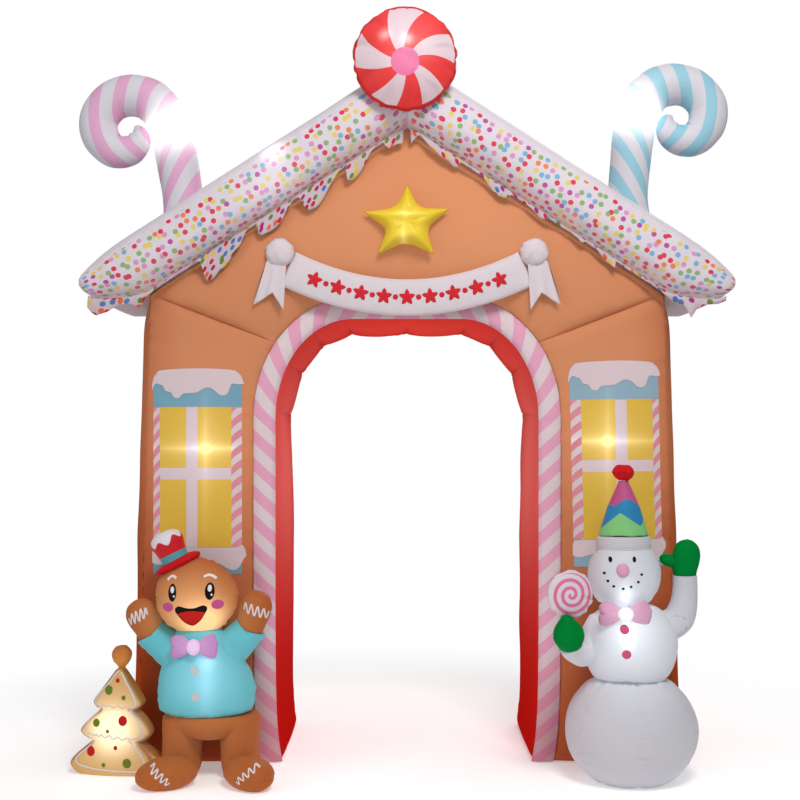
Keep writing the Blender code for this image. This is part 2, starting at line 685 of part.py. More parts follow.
def ribbon_tail(side, name, knot, scroll):
    """The scroll's loose end below a rosette: a swallow-tailed strip with one long fold."""
    top, inner, outer = ROSETTE_Z - 0.03, 0.488, 0.606
    rings = []
    for k in range(9):
        share = k / 8
        x_low = inner + (outer - inner) * share
        if x_low < NOTCH_X:
            tip = TAIL_FOOT_Z - 0.012
            z_low = tip + (NOTCH_Z - tip) * (x_low - inner) / (NOTCH_X - inner)
        else:
            tip = TAIL_FOOT_Z + 0.008
            z_low = NOTCH_Z + (tip - NOTCH_Z) * (x_low - NOTCH_X) / (outer - NOTCH_X)
        x_top = ROSETTE_X - 0.028 + 0.075 * share
        fold = 0.008 * math.cos(2.6 * math.pi * share)
        strip = []
        for step in (0.0, 0.33, 0.67, 1.0):
            x = x_top + (x_low - x_top) * step ** 0.8
            z = top + (z_low - top) * step
            strip.append(Vector((side * x, BANNER_Y - 0.014 + fold * step + 0.004 * step, z)))
        rings.append(strip + [p + Vector((0, CLOTH, 0)) for p in reversed(strip)])
    made = loft(name, rings, "banner")
    seat(made, knot, scroll)
    return made


# ---- The gingerbread figure ---------------------------------------------------------------------------


def stacked(name, sections, x, y, material, sides=20):
    """A filled form through level oval sections of (height, half width, half depth, shift)."""
    rings = []
    for height, wide, deep, shift in sections:
        rings.append([
            Vector((x + shift + wide * math.cos(a), y + deep * math.sin(a), height))
            for a in (2 * math.pi * k / sides for k in range(sides))
        ])
    return loft(name, rings, material)


def bow_tie(name, centre, half_width, half_height, material, *seats):
    """Two puffed loops with a drawn-in middle, in one piece."""
    shape = (
        (-1.0, 0.25, 0.4), (-0.96, 0.72, 0.8), (-0.8, 0.98, 1.0), (-0.5, 0.86, 0.9), (-0.24, 0.5, 0.6),
        (0.0, 0.34, 0.5),
    )
    shape += tuple((-x, tall, thick) for x, tall, thick in reversed(shape[:-1]))
    rings = []
    for x, tall, thick in shape:
        deep = 0.024 * thick
        rings.append([
            Vector(centre) + Vector((x * half_width, deep * math.sin(a), half_height * tall * math.cos(a)))
            for a in (2 * math.pi * k / 10 for k in range(10))
        ])
    bow = loft(name, rings, material)
    seat(bow, *seats)
    return bow


def arm_tube(name, start, end, radii, material, flat=1.0):
    """A short straight tube whose radii are given at even steps from start to end."""
    start, end = Vector(start), Vector(end)
    stations = []
    for share, radius in radii:
        stations.append((*start.lerp(end, share), radius))
    return tube(name, stations, material, sides=14, flat=flat)


def ginger_figure(shell):
    """The waving gingerbread figure that leans on the front of the left leg."""
    shirt = stacked("ginger_shirt", SHIRT, SHIRT_X, GINGER_Y, "aqua")
    seat(shirt, shell)
    hips = stacked("ginger_hips", HIPS, HIPS_X, GINGER_Y, "brown")
    seat(hips, shell)
    head = ellipsoid("ginger_head", HEAD_CENTRE, HEAD_RADII, "brown", segments=18, rings=10)
    seat(head, shirt)
    legs, feet = [], []
    for side, x, foot_x, yaw in (("left", -0.866, -0.892, 34), ("right", -0.642, -0.588, -54)):
        leg = turned(f"ginger_leg_{side}", GINGER_LEG, (x, GINGER_Y, 0), "brown", steps=18, depth=1.4)
        seat(leg, hips)
        if side == "left":
            seat(leg, shell)
        foot = ellipsoid(
            f"ginger_foot_{side}", (foot_x, FRONT_Y - 0.38, 0.05), (0.122, 0.084, 0.062), "brown",
            segments=18, rings=10, yaw=math.radians(yaw), floor=0.0,
        )
        seat(foot, leg)
        legs.append(leg)
        feet.append(foot)
    for side, shoulder, cuff, tip in (
        ("left", (-0.866, 0.445), (-0.982, 0.54), (-1.052, 0.668)),
        ("right", (-0.7, 0.462), (-0.61, 0.556), (-0.566, 0.704)),
    ):
        ginger_arm(side, shoulder, cuff, tip, shirt, head)
    bow = bow_tie("ginger_bow", (-0.8, GINGER_Y - 0.128, 0.512), 0.089, 0.047, "lilac", shirt, head)
    knot = ellipsoid(
        "ginger_bow_knot", (-0.8, GINGER_Y - 0.147, 0.512), (0.026, 0.016, 0.031), "lilac",
        segments=12, rings=8,
    )
    seat(knot, bow, shirt)
    ginger_hat(head)
    return legs, feet


def ginger_arm(side, shoulder, cuff, tip, shirt, head):
    """A raised arm: a short flared sleeve, and a rounded hand that starts at its cuff."""
    y = GINGER_Y + 0.012
    start, end = Vector((shoulder[0], y, shoulder[1])), Vector((cuff[0], y, cuff[1]))
    way = (Vector((tip[0], y, tip[1])) - end).normalized()
    widths = ((0, 0.075), (0.5, 0.072), (1, CUFF_RADIUS))
    sleeve = arm_tube(f"ginger_sleeve_{side}", start, end - way * GAP, widths, "aqua")
    last = sleeve.data.vertices[-14:]
    for i, vertex in enumerate(last):  # the cuff is square to the hand
        angle = 2 * math.pi * i / 14
        across = way.cross(Vector((0, 1, 0))).normalized()
        round_it = math.cos(angle) * across + math.sin(angle) * across.cross(way)
        vertex.co = end - way * GAP + CUFF_RADIUS * round_it
    seat(sleeve, shirt, head)
    widths = (
        (0, 0.055), (0.2, 0.058), (0.45, 0.062), (0.7, 0.06), (0.88, 0.047), (0.97, 0.028), (1.0, 0.01),
    )
    hand = arm_tube(f"ginger_hand_{side}", end, (tip[0], y, tip[1]), widths, "brown")
    seat(hand, head)


def ginger_hat(head):
    """The little top hat: a fat round brim and a crown that widens to its icing top."""
    turn = (0, HAT_LEAN, 0)
    profile = round_profile(0.094, 0.02, -0.02, 6)
    brim = turned("ginger_hat_brim", profile, HAT_SEAT, "red", steps=18, turn=turn)
    seat(brim, head)
    profile = ((0, 0.134), (0.036, 0.13), (0.057, 0.116), (0.064, 0.092), (0.059, 0.068), (0.053, 0.036),
               (0.054, 0.008), (0, 0.008))
    crown = turned("ginger_hat_crown", profile, HAT_SEAT, "red", steps=18, turn=turn)
    seat(crown, brim)


# ---- The biscuit tree ---------------------------------------------------------------------------------


def biscuit_tree(leg, foot, shell):
    """A three-tiered biscuit tree with a deep gusset, sewn to the figure's left leg, with a knob on top."""
    rings = []
    for height, wide, shift, deep in TREE:
        ring = []
        for k in range(16):
            a = 2 * math.pi * k / 16
            across = math.copysign(abs(math.cos(a)) ** 0.6, math.cos(a)) * wide
            front = math.copysign(abs(math.sin(a)) ** 0.5, math.sin(a)) * deep
            reach = 0.058 * math.exp(-(height / 0.09) ** 2) if across > 0 else 0.0
            x = shift + across * (1 + reach / wide)
            ring.append(Vector((TREE_X + x, TREE_Y + front - TREE_TURN * x, height)))
        rings.append(ring)
    tree = loft("biscuit_tree", rings, "biscuit")
    seat(tree, leg, foot, shell)
    profile = ((0, 0.09), (0.022, 0.087), (0.038, 0.07), (0.041, 0.05), (0.034, 0.028), (0.018, 0.008),
               (0.013, 0.0), (0, 0.0))
    top = (TREE_X + 0.031, TREE_Y, TREE[-1][0] + GAP)
    turned("tree_knob", profile, top, "brown", steps=14, depth=0.8)


# ---- The snowman --------------------------------------------------------------------------------------


def snowman(shell):
    """Three filled balls, flat where they are sewn together, a party hat, two arms and a lollipop."""
    base = turned("snow_base", round_profile(0.25, SNOW_WAIST - GAP, 0.0, 10, 0.135, 0.14),
                  (SNOW_X, SNOW_Y, 0), "white", steps=22)
    seat(base, shell)
    body = turned("snow_body", round_profile(0.178, SNOW_NECK - GAP, SNOW_WAIST, 9, 0.08, 0.135),
                  (SNOW_X - 0.003, SNOW_Y, 0), "white", steps=22, depth=0.95)
    head = turned("snow_head", round_profile(0.139, SNOW_BROW + 0.02, SNOW_NECK, 9, 0.085, 0.075),
                  (SNOW_X - 0.026, SNOW_Y, 0), "white", steps=22, depth=0.95)
    brow = (
        (0, CONE_FOOT - GAP), (0.095, CONE_FOOT - GAP), (0.102, CONE_FOOT - 0.014),
        (0.104, SNOW_BROW + 0.02), (0.1, SNOW_BROW), (0, SNOW_BROW),
    )
    band = turned("snow_hat_band", brow, (SNOW_X - 0.028, SNOW_Y, 0), "white", steps=20, depth=0.95)
    seat(band, head)
    cone = ((0, CONE_TIP - GAP), (0.018, CONE_TIP - GAP), (0.062, 1.03), (0.096, CONE_FOOT), (0, CONE_FOOT))
    turned("snow_hat", cone, (SNOW_X - 0.03, SNOW_Y, 0), "hat", steps=20, depth=0.95)
    tuft = (
        (0, CONE_TIP + 0.062), (0.026, CONE_TIP + 0.058), (0.041, CONE_TIP + 0.042),
        (0.043, CONE_TIP + 0.03), (0.032, CONE_TIP + 0.014), (0.018, CONE_TIP), (0, CONE_TIP),
    )
    turned("snow_pompom", tuft, (SNOW_X - 0.03, SNOW_Y, 0), "red", steps=12)
    raised_arm(body)
    folded_arm(body, base, head)
    bow = bow_tie("snow_bow", (SNOW_X - 0.044, SNOW_Y - 0.126, 0.645), 0.1, 0.046, "pink", body, head)
    knot = ellipsoid(
        "snow_bow_knot", (SNOW_X - 0.044, SNOW_Y - 0.148, 0.645), (0.03, 0.018, 0.026), "white",
        segments=12, rings=8,
    )
    seat(knot, bow, body, head)


def raised_arm(body):
    """The waving arm, and its mitten with the thumb towards the head."""
    y = SNOW_Y + 0.01
    path = (
        (0.93, y, 0.56, 0.064), (0.985, y, 0.575, 0.062), (1.03, y, 0.605, 0.058),
        (1.052, y, 0.66, 0.052), (1.056, y, 0.72, 0.048), (1.056, y, WRIST_Z, 0.046),
    )
    arm = tube("snow_arm_raised", smooth_rows(path, 2), "white", sides=14)
    seat(arm, body)
    wrist = WRIST_Z + GAP
    palm = (
        (1.056, y, wrist, 0.044), (1.056, y, wrist + 0.03, 0.05), (1.062, y, wrist + 0.075, 0.054),
        (1.064, y, wrist + 0.11, 0.046), (1.065, y, wrist + 0.13, 0.026), (1.065, y, wrist + 0.137, 0.008),
    )
    mitten = tube("snow_mitten_raised", palm, "green", sides=14, flat=0.8)
    seat(mitten, arm)
    thumb = ellipsoid(
        "thumb_raised", (1.0, y, wrist + 0.055), (0.042, 0.022, 0.024), "green",
        segments=12, rings=8, tilt=math.radians(20),
    )
    merge(mitten, thumb)


def folded_arm(body, base, head):
    """The arm that holds the lollipop: it hangs from the shoulder, then turns forwards to the mitten."""
    path = (
        (0.74, SNOW_Y, 0.6, 0.052), (0.703, SNOW_Y - 0.02, 0.54, 0.052), (0.675, SNOW_Y - 0.05, 0.494, 0.048),
        (0.648, SNOW_Y - 0.085, 0.488, 0.045), (0.618, SNOW_Y - 0.118, 0.508, 0.045),
        (0.6, SNOW_Y - 0.14, 0.536, 0.047),
    )
    rows = smooth_rows(path, 2)
    arm = tube("snow_arm_folded", rows, "white", sides=12, across=(0, 1, 0.25))
    seat(arm, body, base)
    wrist = Vector(path[-1][:3])
    way = (Vector(rows[-1][:3]) - Vector(rows[-2][:3])).normalized()
    stations = []
    widths = ((0.0, 0.046), (0.03, 0.057), (0.055, 0.056), (0.09, 0.036), (0.118, 0.016), (0.13, 0.005))
    for along, radius in widths:
        lean = Vector((0.03, -0.01, 0.02)) * (along / 0.13)
        stations.append((*(wrist + way * (along + GAP) + lean), radius))
    mitten = tube("snow_mitten_folded", stations, "green", sides=12, across=(0, 1, 0.25))
    seat(mitten, arm, body)
    sweet = turned("lollipop", round_profile(0.087, 0.027, -0.027, 8), (0.598, SNOW_Y - 0.17, 0.722), "pink",
                   steps=24, turn=(math.pi / 2, 0, math.radians(14)))
    seat(sweet, mitten, head)


# ---- The whole arch -----------------------------------------------------------------------------------


def build():
    stations = house_stations()
    shell = house_shell(stations)
    doorway_lining()
    border = doorway_border(stations)
    roofs = [roof(-1, "roof_left"), roof(1, "roof_right")]
    drape(-1, "icing_drape_left", DRIPS_LEFT, roofs[0])
    drape(1, "icing_drape_right", DRIPS_RIGHT, roofs[1])
    candy_cane(-1, "candy_cane_left", (-0.946, CANE_Y, 2.27), 0.0, "pink", roofs[0])
    candy_cane(1, "candy_cane_right", (0.95, CANE_Y, 2.31), -0.05, "blue", roofs[1])
    peppermint(roofs)
    star(shell)
    scroll = banner(shell, border)
    for side, word in ((-1, "left"), (1, "right")):
        knot = rosette(side, f"rosette_{word}", shell, scroll)
        ribbon_tail(side, f"ribbon_tail_{word}", knot, scroll)
    legs, feet = ginger_figure(shell)
    biscuit_tree(legs[0], feet[0], shell)
    snowman(shell)


clear_scene()
pieces = new_collection("inflatable_arch")
cutters = new_collection("cutters")
cutters.hide_render = True
build()
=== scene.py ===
"""An inflatable arch in the form of a gingerbread house: its cloth, seams, prints and inner lamps.

Metres, +Z up, the front towards -Y. Each section makes one part of the arch, in the order in which it is sewn.
"""

import math

import bmesh
import bpy
from mathutils import Matrix, Vector, noise
from mathutils.bvhtree import BVHTree


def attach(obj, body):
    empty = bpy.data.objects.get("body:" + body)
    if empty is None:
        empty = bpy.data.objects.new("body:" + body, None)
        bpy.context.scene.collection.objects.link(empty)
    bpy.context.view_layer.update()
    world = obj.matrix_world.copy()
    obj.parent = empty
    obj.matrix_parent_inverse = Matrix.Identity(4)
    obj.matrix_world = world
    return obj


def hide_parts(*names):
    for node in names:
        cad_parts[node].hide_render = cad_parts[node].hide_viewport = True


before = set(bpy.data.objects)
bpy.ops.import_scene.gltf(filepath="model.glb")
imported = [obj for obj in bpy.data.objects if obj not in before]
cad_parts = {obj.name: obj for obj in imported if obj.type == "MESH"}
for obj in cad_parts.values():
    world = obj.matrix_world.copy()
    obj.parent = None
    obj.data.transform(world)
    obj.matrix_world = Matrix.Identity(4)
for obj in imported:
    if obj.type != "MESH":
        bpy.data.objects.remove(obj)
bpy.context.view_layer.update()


# ---- The studio ---------------------------------------------------------------------------------------
# The arch stands on a plain pale floor in soft light. The big lamp is high in front, a little to the
# right, so the roof and the gable are the lightest; the camera stands at eye height, 5.2 m in front.

scene = bpy.context.scene
scene.view_settings.view_transform = "Standard"


def operator(operation):
    """The method that an arithmetic sign stands for on a dye."""
    return lambda dye, other: dye.of(operation, other)


class Dye:
    """A value or colour that changes over the cloth. An expression on dyes adds the nodes that it needs."""

    def __init__(self, tree, socket):
        self.tree = tree
        self.socket = socket

    def node(self, kind, settings, sockets, output=0):
        made = self.tree.nodes.new(kind)
        for word, value in settings.items():
            if word == "stops":
                ramp = made.color_ramp
                ramp.interpolation = settings.get("steps", "LINEAR")
                while len(ramp.elements) < len(value):
                    ramp.elements.new(1.0)
                for stop, (place, colour) in zip(ramp.elements, value):
                    stop.position = place
                    stop.color = (*colour, 1.0)
            elif word != "steps":
                setattr(made, word, value)
        for word, value in sockets.items():
            if isinstance(value, Dye):
                self.tree.links.new(value.socket, made.inputs[word])
            else:
                made.inputs[word].default_value = value
        return Dye(self.tree, made.outputs[output])

    def of(self, operation, *others):
        return self.node("ShaderNodeMath", {"operation": operation}, dict(enumerate((self, *others))))

    def vector(self, operation, other, output=0):
        return self.node("ShaderNodeVectorMath", {"operation": operation}, {0: self, 1: other}, output)

    def mixed(self, first, second):
        """The first colour where this dye is 0 and the second where it is 1."""
        sockets = {}
        for word, colour in ((6, first), (7, second)):
            sockets[word] = colour if isinstance(colour, Dye) else (*colour, 1.0)
        return self.node("ShaderNodeMix", {"data_type": "RGBA"}, {0: self, **sockets}, 2)

    def lit(self, colour):
        """Black where this dye is 0 and the colour where it is 1."""
        return self.mixed((0, 0, 0), colour)

    def part(self, axis):
        return self.node("ShaderNodeSeparateXYZ", {}, {0: self}, "XYZ".index(axis))

    def __rsub__(self, other):
        return self.node("ShaderNodeMath", {"operation": "SUBTRACT"}, {0: other, 1: self})

    __add__ = __radd__ = operator("ADD")
    __sub__ = operator("SUBTRACT")
    __mul__ = __rmul__ = operator("MULTIPLY")
    __truediv__ = operator("DIVIDE")
    __pow__ = operator("POWER")
    __lt__ = operator("LESS_THAN")
    __gt__ = operator("GREATER_THAN")


camera = bpy.data.cameras.new("camera")
camera.lens, camera.sensor_width = 58.5, 36
camera.shift_x, camera.shift_y = -0.005, 0.05125
stand = bpy.data.objects.new("camera", camera)
stand.location = (-0.012, -5.34, 1.284)
stand.rotation_euler = (math.radians(90), 0, 0)
scene.collection.objects.link(stand)
scene.camera = stand

sky = bpy.data.worlds.new("studio")
sky.use_nodes = True
scene.world = sky
light = sky.node_tree.nodes["Background"]
light.inputs["Color"].default_value = (0.97, 0.98, 1.0, 1)
light.inputs["Strength"].default_value = 0.42
shed = Dye(sky.node_tree, light.outputs[0])
seen = shed.node("ShaderNodeBackground", {}, {"Color": (1, 1, 1, 1)})
blend = shed.node("ShaderNodeMixShader", {}, {"Fac": shed.node("ShaderNodeLightPath", {}, {}), 1: shed, 2: seen})
sky.node_tree.links.new(blend.socket, sky.node_tree.nodes["World Output"].inputs["Surface"])

for name, place, size, power in (
    ("softbox_high", (0.9, -3.4, 4.6), 1.3, 122),
    ("softbox_left", (-4.5, -3.2, 2.2), 2.5, 42),
    ("softbox_back", (1.5, 4.5, 4.2), 3.0, 70),
):
    lamp = bpy.data.lights.new(name, "AREA")
    lamp.size = size
    lamp.energy = power
    holder = bpy.data.objects.new(name, lamp)
    holder.location = place
    holder.rotation_euler = (Vector((0, 0.1, 1.4)) - Vector(place)).to_track_quat("-Z", "Y").to_euler()
    scene.collection.objects.link(holder)

floor_mesh = bpy.data.meshes.new("floor")
floor_mesh.from_pydata([(-3, -3, 0), (3, -3, 0), (3, 3, 0), (-3, 3, 0)], [], [(0, 1, 2, 3)])
floor = bpy.data.objects.new("floor", floor_mesh)
floor.location.z = -0.0005
paint = bpy.data.materials.new("floor_paint")
paint.use_nodes = True
matt = paint.node_tree.nodes["Principled BSDF"]
for word, value in (
    ("Base Color", (0.93, 0.93, 0.93, 1)), ("Roughness", 0.9), ("Specular IOR Level", 0.1),
    ("Emission Color", (1, 1, 1, 1)), ("Emission Strength", 0.3),
):
    matt.inputs[word].default_value = value
painted = Dye(paint.node_tree, matt.outputs[0])
place = painted.node("ShaderNodeTexCoord", {}, {}, 3)
fade = painted.node(
    "ShaderNodeMapRange", {"interpolation_type": "SMOOTHSTEP"},
    {"Value": place.node("ShaderNodeVectorMath", {"operation": "LENGTH"}, {0: place}, 1), "From Min": 1.5,
     "From Max": 3.0},
)
clear = painted.node("ShaderNodeBsdfTransparent", {}, {})
ground = painted.node("ShaderNodeMixShader", {}, {"Fac": fade, 1: painted, 2: clear})
paint.node_tree.links.new(ground.socket, paint.node_tree.nodes["Material Output"].inputs["Surface"])
floor_mesh.materials.append(paint)
scene.collection.objects.link(floor)


# ---- The house shell ----------------------------------------------------------------------------------
# One chamber of gingerbread-brown polyester: two legs and the gable, each with a front, a side and a back
# panel. The panels puff out between their seams and pucker where they are sewn. Lamps hang inside.

FRONT_Y = -0.14
DEPTH = 0.72
BACK_Y = FRONT_Y + DEPTH
OPENING_HALF = 0.526
OPENING_TOP = 1.772
SPRING_Z = 1.376
CORNER_RX = 0.31
CORNER_RZ = OPENING_TOP - SPRING_Z
FOOT_PINCH = 0.03
WALL_HALF = 1.03
WALL_FLARE = 0.045
EAVE_Z = 1.87
APEX_Z = 2.53
SLOPE = math.atan2(APEX_Z - EAVE_Z, WALL_HALF)
SLOPE_LENGTH = math.hypot(APEX_Z - EAVE_Z, WALL_HALF)
GAP = 0.0004
LINING_EDGE = 0.02
BORDER_WIDTH = 0.088
BORDER_CROWN = 0.008
LEG_CROWN = 0.045
GABLE_CROWN = 0.062
SIDE_BULGE = 0.08
FLOOR_ROUND = 0.03
CORNER_STATIONS = (
    (0, SPRING_Z - EAVE_Z), (10, -0.37), (20, -0.26), (30, -0.14), (38, -0.045), (41.3, -0.012),
    (42, 0.0), (42.7, 0.012), (46, 0.05), (54, 0.16), (65, 0.36), (77, 0.58), (90, 0.8),
)


class Cloth:
    """A woven polyester. It is coloured and lit through its dyes, and then finished."""

    def __init__(self, name):
        self.material = bpy.data.materials.new(name)
        self.material.use_nodes = True
        self.tree = self.material.node_tree
        self.shader = self.tree.nodes["Principled BSDF"]
        coords = self.tree.nodes.new("ShaderNodeTexCoord")
        self.place = Dye(self.tree, coords.outputs["Object"])
        self.laid = Dye(self.tree, coords.outputs["UV"])

    def kept(self, attribute):
        """A number that the mesh keeps for each of its points."""
        return self.place.node("ShaderNodeAttribute", {"attribute_name": attribute}, {}, 2)

    def mottle(self, scale, detail=2.0, squeeze=(1.0, 1.0, 1.0)):
        stretched = self.place.vector("MULTIPLY", squeeze)
        return self.place.node("ShaderNodeTexNoise", {}, {"Vector": stretched, "Scale": scale, "Detail": detail})

    def lamp(self, place, reach):
        """How much of a lamp behind the cloth shows through it: 1 in front of it, falling to 0."""
        return ((self.place.vector("DISTANCE", place, 1) / reach) ** 2 * -1.0).of("EXPONENT")

    def lamps(self, *rows):
        """The light of several lamps, each (place, reach, strength)."""
        lights = [self.lamp(place, reach) * strength for place, reach, strength in rows]
        return sum(lights[1:], lights[0])

    def finish(self, colour, glow=None, roughness=0.5, sheen=0.03, weave=0.12, crease=0.25, shade=0.12,
               gloss=0.2):
        """Adds the weave, small creases and uneven dye, and returns the material."""
        uneven = self.mottle(5.0, 3.0) * shade + self.mottle(190.0, 1.0, (1, 1, 0.05)) * (shade * 0.5)
        if not isinstance(colour, Dye):
            colour = (uneven * 0.0).mixed(colour, colour)
        darker = self.place.node(
            "ShaderNodeMix", {"data_type": "RGBA", "blend_type": "MULTIPLY"},
            {0: 1.0, 6: colour, 7: (0.8, 0.76, 0.74, 1.0)}, 2,
        )
        tinted = uneven.node("ShaderNodeMix", {"data_type": "RGBA"}, {0: uneven, 6: colour, 7: darker}, 2)
        self.tree.links.new(tinted.socket, self.shader.inputs["Base Color"])
        wear = self.mottle(14.0) * 0.14 + (roughness - 0.07)
        self.tree.links.new(wear.socket, self.shader.inputs["Roughness"])
        self.shader.inputs["Sheen Weight"].default_value = sheen
        self.shader.inputs["Sheen Roughness"].default_value = 0.4
        self.shader.inputs["Specular IOR Level"].default_value = gloss
        threads = self.place.node("ShaderNodeTexChecker", {}, {"Vector": self.place, "Scale": 900.0}, 1)
        height = threads * weave + self.mottle(26.0, 2.0) * (crease * 3.0)
        bump = self.place.node("ShaderNodeBump", {}, {"Strength": 0.35, "Distance": 0.0016, "Height": height})
        self.tree.links.new(bump.socket, self.shader.inputs["Normal"])
        if glow is not None:
            self.tree.links.new(glow.socket, self.shader.inputs["Emission Color"])
            self.shader.inputs["Emission Strength"].default_value = 1.0
        return self.material


def smooth_rows(rows, per_span):
    """Rows of numbers read from a smooth curve through the given rows."""
    found = []
    for i in range(len(rows) - 1):
        before, start = rows[max(i - 1, 0)], rows[i]
        end, after = rows[i + 1], rows[min(i + 2, len(rows) - 1)]
        for k in range(per_span):
            t = k / per_span
            found.append(tuple(
                0.5 * (2 * b + (c - a) * t + (2 * a - 5 * b + 4 * c - d) * t * t
                       + (3 * b - a - 3 * c + d) * t ** 3)
                for a, b, c, d in zip(before, start, end, after)
            ))
    return found + [rows[-1]]


def even_steps(start, end, count):
    return [start + (end - start) * k / count for k in range(count + 1)]


def seam_steps(count, edge=0.02):
    """Shares from 0 to 1 that lie closer together at both ends, where the seams are."""
    fine = (0.0, edge * 0.15, edge * 0.4, edge)
    return list(fine) + even_steps(2 * edge, 1 - 2 * edge, count) + [1 - s for s in reversed(fine)]


def clamp(value):
    return max(0.0, min(1.0, value))


def hump(share, power):
    """How full a cushion stands between two seams, at that share of the way across."""
    return max(math.sin(math.pi * share), 0.0) ** power


def circle(count):
    """The angles of points that lie evenly round a circle."""
    return [2 * math.pi * k / count for k in range(count)]


def on_side(side, point):
    return Vector((side * point.x, point.y))


def arc_lengths(points):
    lengths = [0.0]
    for a, b in zip(points, points[1:]):
        lengths.append(lengths[-1] + (b - a).length)
    return lengths


def doorway_edge(distance):
    """(x, z) on the right half of the doorway's edge, that far from the floor, and the way outwards."""
    if distance <= SPRING_Z:
        pinch = FOOT_PINCH * math.exp(-distance / 0.12)
        return Vector((OPENING_HALF - pinch, distance)), Vector((1.0, 0.0))
    travelled = SPRING_Z
    for k in range(len(CORNER_WALK) - 1):
        step = (CORNER_WALK[k + 1][0] - CORNER_WALK[k][0]).length
        if travelled + step >= distance:
            share = (distance - travelled) / step
            return tuple(a.lerp(b, share) for a, b in zip(CORNER_WALK[k], CORNER_WALK[k + 1]))
        travelled += step
    last = CORNER_WALK[-1][0]
    return Vector((max(last.x - (distance - travelled), 0.0), OPENING_TOP)), Vector((0.0, 1.0))


def corner_edge(angle):
    """(x, z) on the doorway's rounded corner and the way out of the doorway there."""
    a = math.radians(angle)
    point = Vector((OPENING_HALF - CORNER_RX + CORNER_RX * math.cos(a), SPRING_Z + CORNER_RZ * math.sin(a)))
    return point, Vector((math.cos(a) / CORNER_RX, math.sin(a) / CORNER_RZ)).normalized()


CORNER_WALK = [corner_edge(angle) for angle in range(0, 91)]
CORNER_LENGTH = sum((b[0] - a[0]).length for a, b in zip(CORNER_WALK, CORNER_WALK[1:]))


def outer_edge(reach):
    """(x, z) on the wall below the eave for a negative reach, or up the roof slope for a positive one."""
    if reach < 0:
        z = EAVE_Z + reach
        return Vector((WALL_HALF + WALL_FLARE * (1 - z / EAVE_Z), z))
    return Vector((WALL_HALF - reach * math.cos(SLOPE), EAVE_Z + reach * math.sin(SLOPE)))


def floor_inset(z):
    """How far the rounded lower rim is drawn in at that height."""
    if z >= FLOOR_ROUND:
        return 0.0
    return FLOOR_ROUND * (1 - math.sqrt(max(0.0, 1 - (1 - z / FLOOR_ROUND) ** 2)))


def house_stations():
    """Stations from the right foot over the crown to the left foot: edge, way, outer edge, reach, run."""
    right = []
    for z in (0.0, 0.004, 0.009, 0.016, 0.023, 0.03, 0.045) + tuple(even_steps(0.06, SPRING_Z, 92))[:-1]:
        edge, way = doorway_edge(z)
        right.append([edge, way, outer_edge(z - EAVE_Z), z - EAVE_Z])
    for angle, reach in smooth_rows(CORNER_STATIONS, 7):
        edge, way = corner_edge(angle)
        right.append([edge, way, outer_edge(reach), reach])
    for share in even_steps(0, 1, 14)[1:]:
        reach = 0.8 + (SLOPE_LENGTH - 0.8) * share
        x = (OPENING_HALF - CORNER_RX) * (1 - share)
        right.append([Vector((x, OPENING_TOP)), Vector((0.0, 1.0)), outer_edge(reach), reach])
    stations = right + [
        [on_side(-1, edge), on_side(-1, way), on_side(-1, outer), reach]
        for edge, way, outer, reach in reversed(right[:-1])
    ]
    runs = arc_lengths([station[0] for station in stations])
    return [[*station, run] for station, run in zip(stations, runs)]


def lit_cloth(name, colour, tint, *lamps, **look):
    """A cloth of one colour with lamps behind it, each (place, reach, strength)."""
    cloth = Cloth(name)
    return cloth.finish(colour, cloth.lamps(*lamps).lit(tint), **look)


def border_bulge(distance):
    """Crown of the striped border, that far out from the doorway's edge."""
    return BORDER_CROWN * math.sin(math.pi * clamp(distance / BORDER_WIDTH))


def ripple(place, scale, seed=0.0):
    """An even random swing between -1 and 1 over the place."""
    return noise.noise(Vector(place) * scale + Vector((seed, 1.7 * seed, 0.3 * seed))) * 1.6


def puckers(along, distance, seed, depth=0.0045, reach=0.035):
    """How far gathered cloth dips beside a seam: folds square to it that die out with the distance."""
    fold = ripple((along.x, along.y, 0.0), 24, seed) + 0.5 * ripple((along.x, along.y, 0.0), 61, seed)
    return depth * math.exp(-distance / reach) * (0.25 + fold) + 0.003 * math.exp(-distance / 0.006)


def crown(station):
    """How far the panel stands out at a station: least at the crease between the leg and the gable."""
    reach = station[3]
    dip = 1 - 0.6 * math.exp(-abs(reach) / 0.022)
    return dip * (LEG_CROWN + (GABLE_CROWN - LEG_CROWN) * clamp(reach / 0.4))


def front_point(station, share):
    """The place across a front panel in the seams' plane, and how far the cloth stands out there."""
    edge, way, outer, reach, _ = station
    inner = edge + (LINING_EDGE + GAP) * way
    across = outer - inner
    width = across.length
    start = BORDER_WIDTH - LINING_EDGE
    distance = start + (width - start) * share
    rise = crown(station) * hump(share, 0.6)
    near, far = distance - start, width - distance
    flat = inner + across * (distance / width)
    rise -= puckers(edge, near, 3.0) + puckers(outer, far, 8.0, 0.006, 0.045)
    if abs(reach) < 0.3:
        rise -= puckers(flat, abs(reach), 5.0, 0.0035, 0.04)
    rise += 0.0035 * ripple((flat.x, flat.y, 4.0), 4.2) * min(1.0, near / 0.06) * min(1.0, far / 0.06)
    return flat, rise


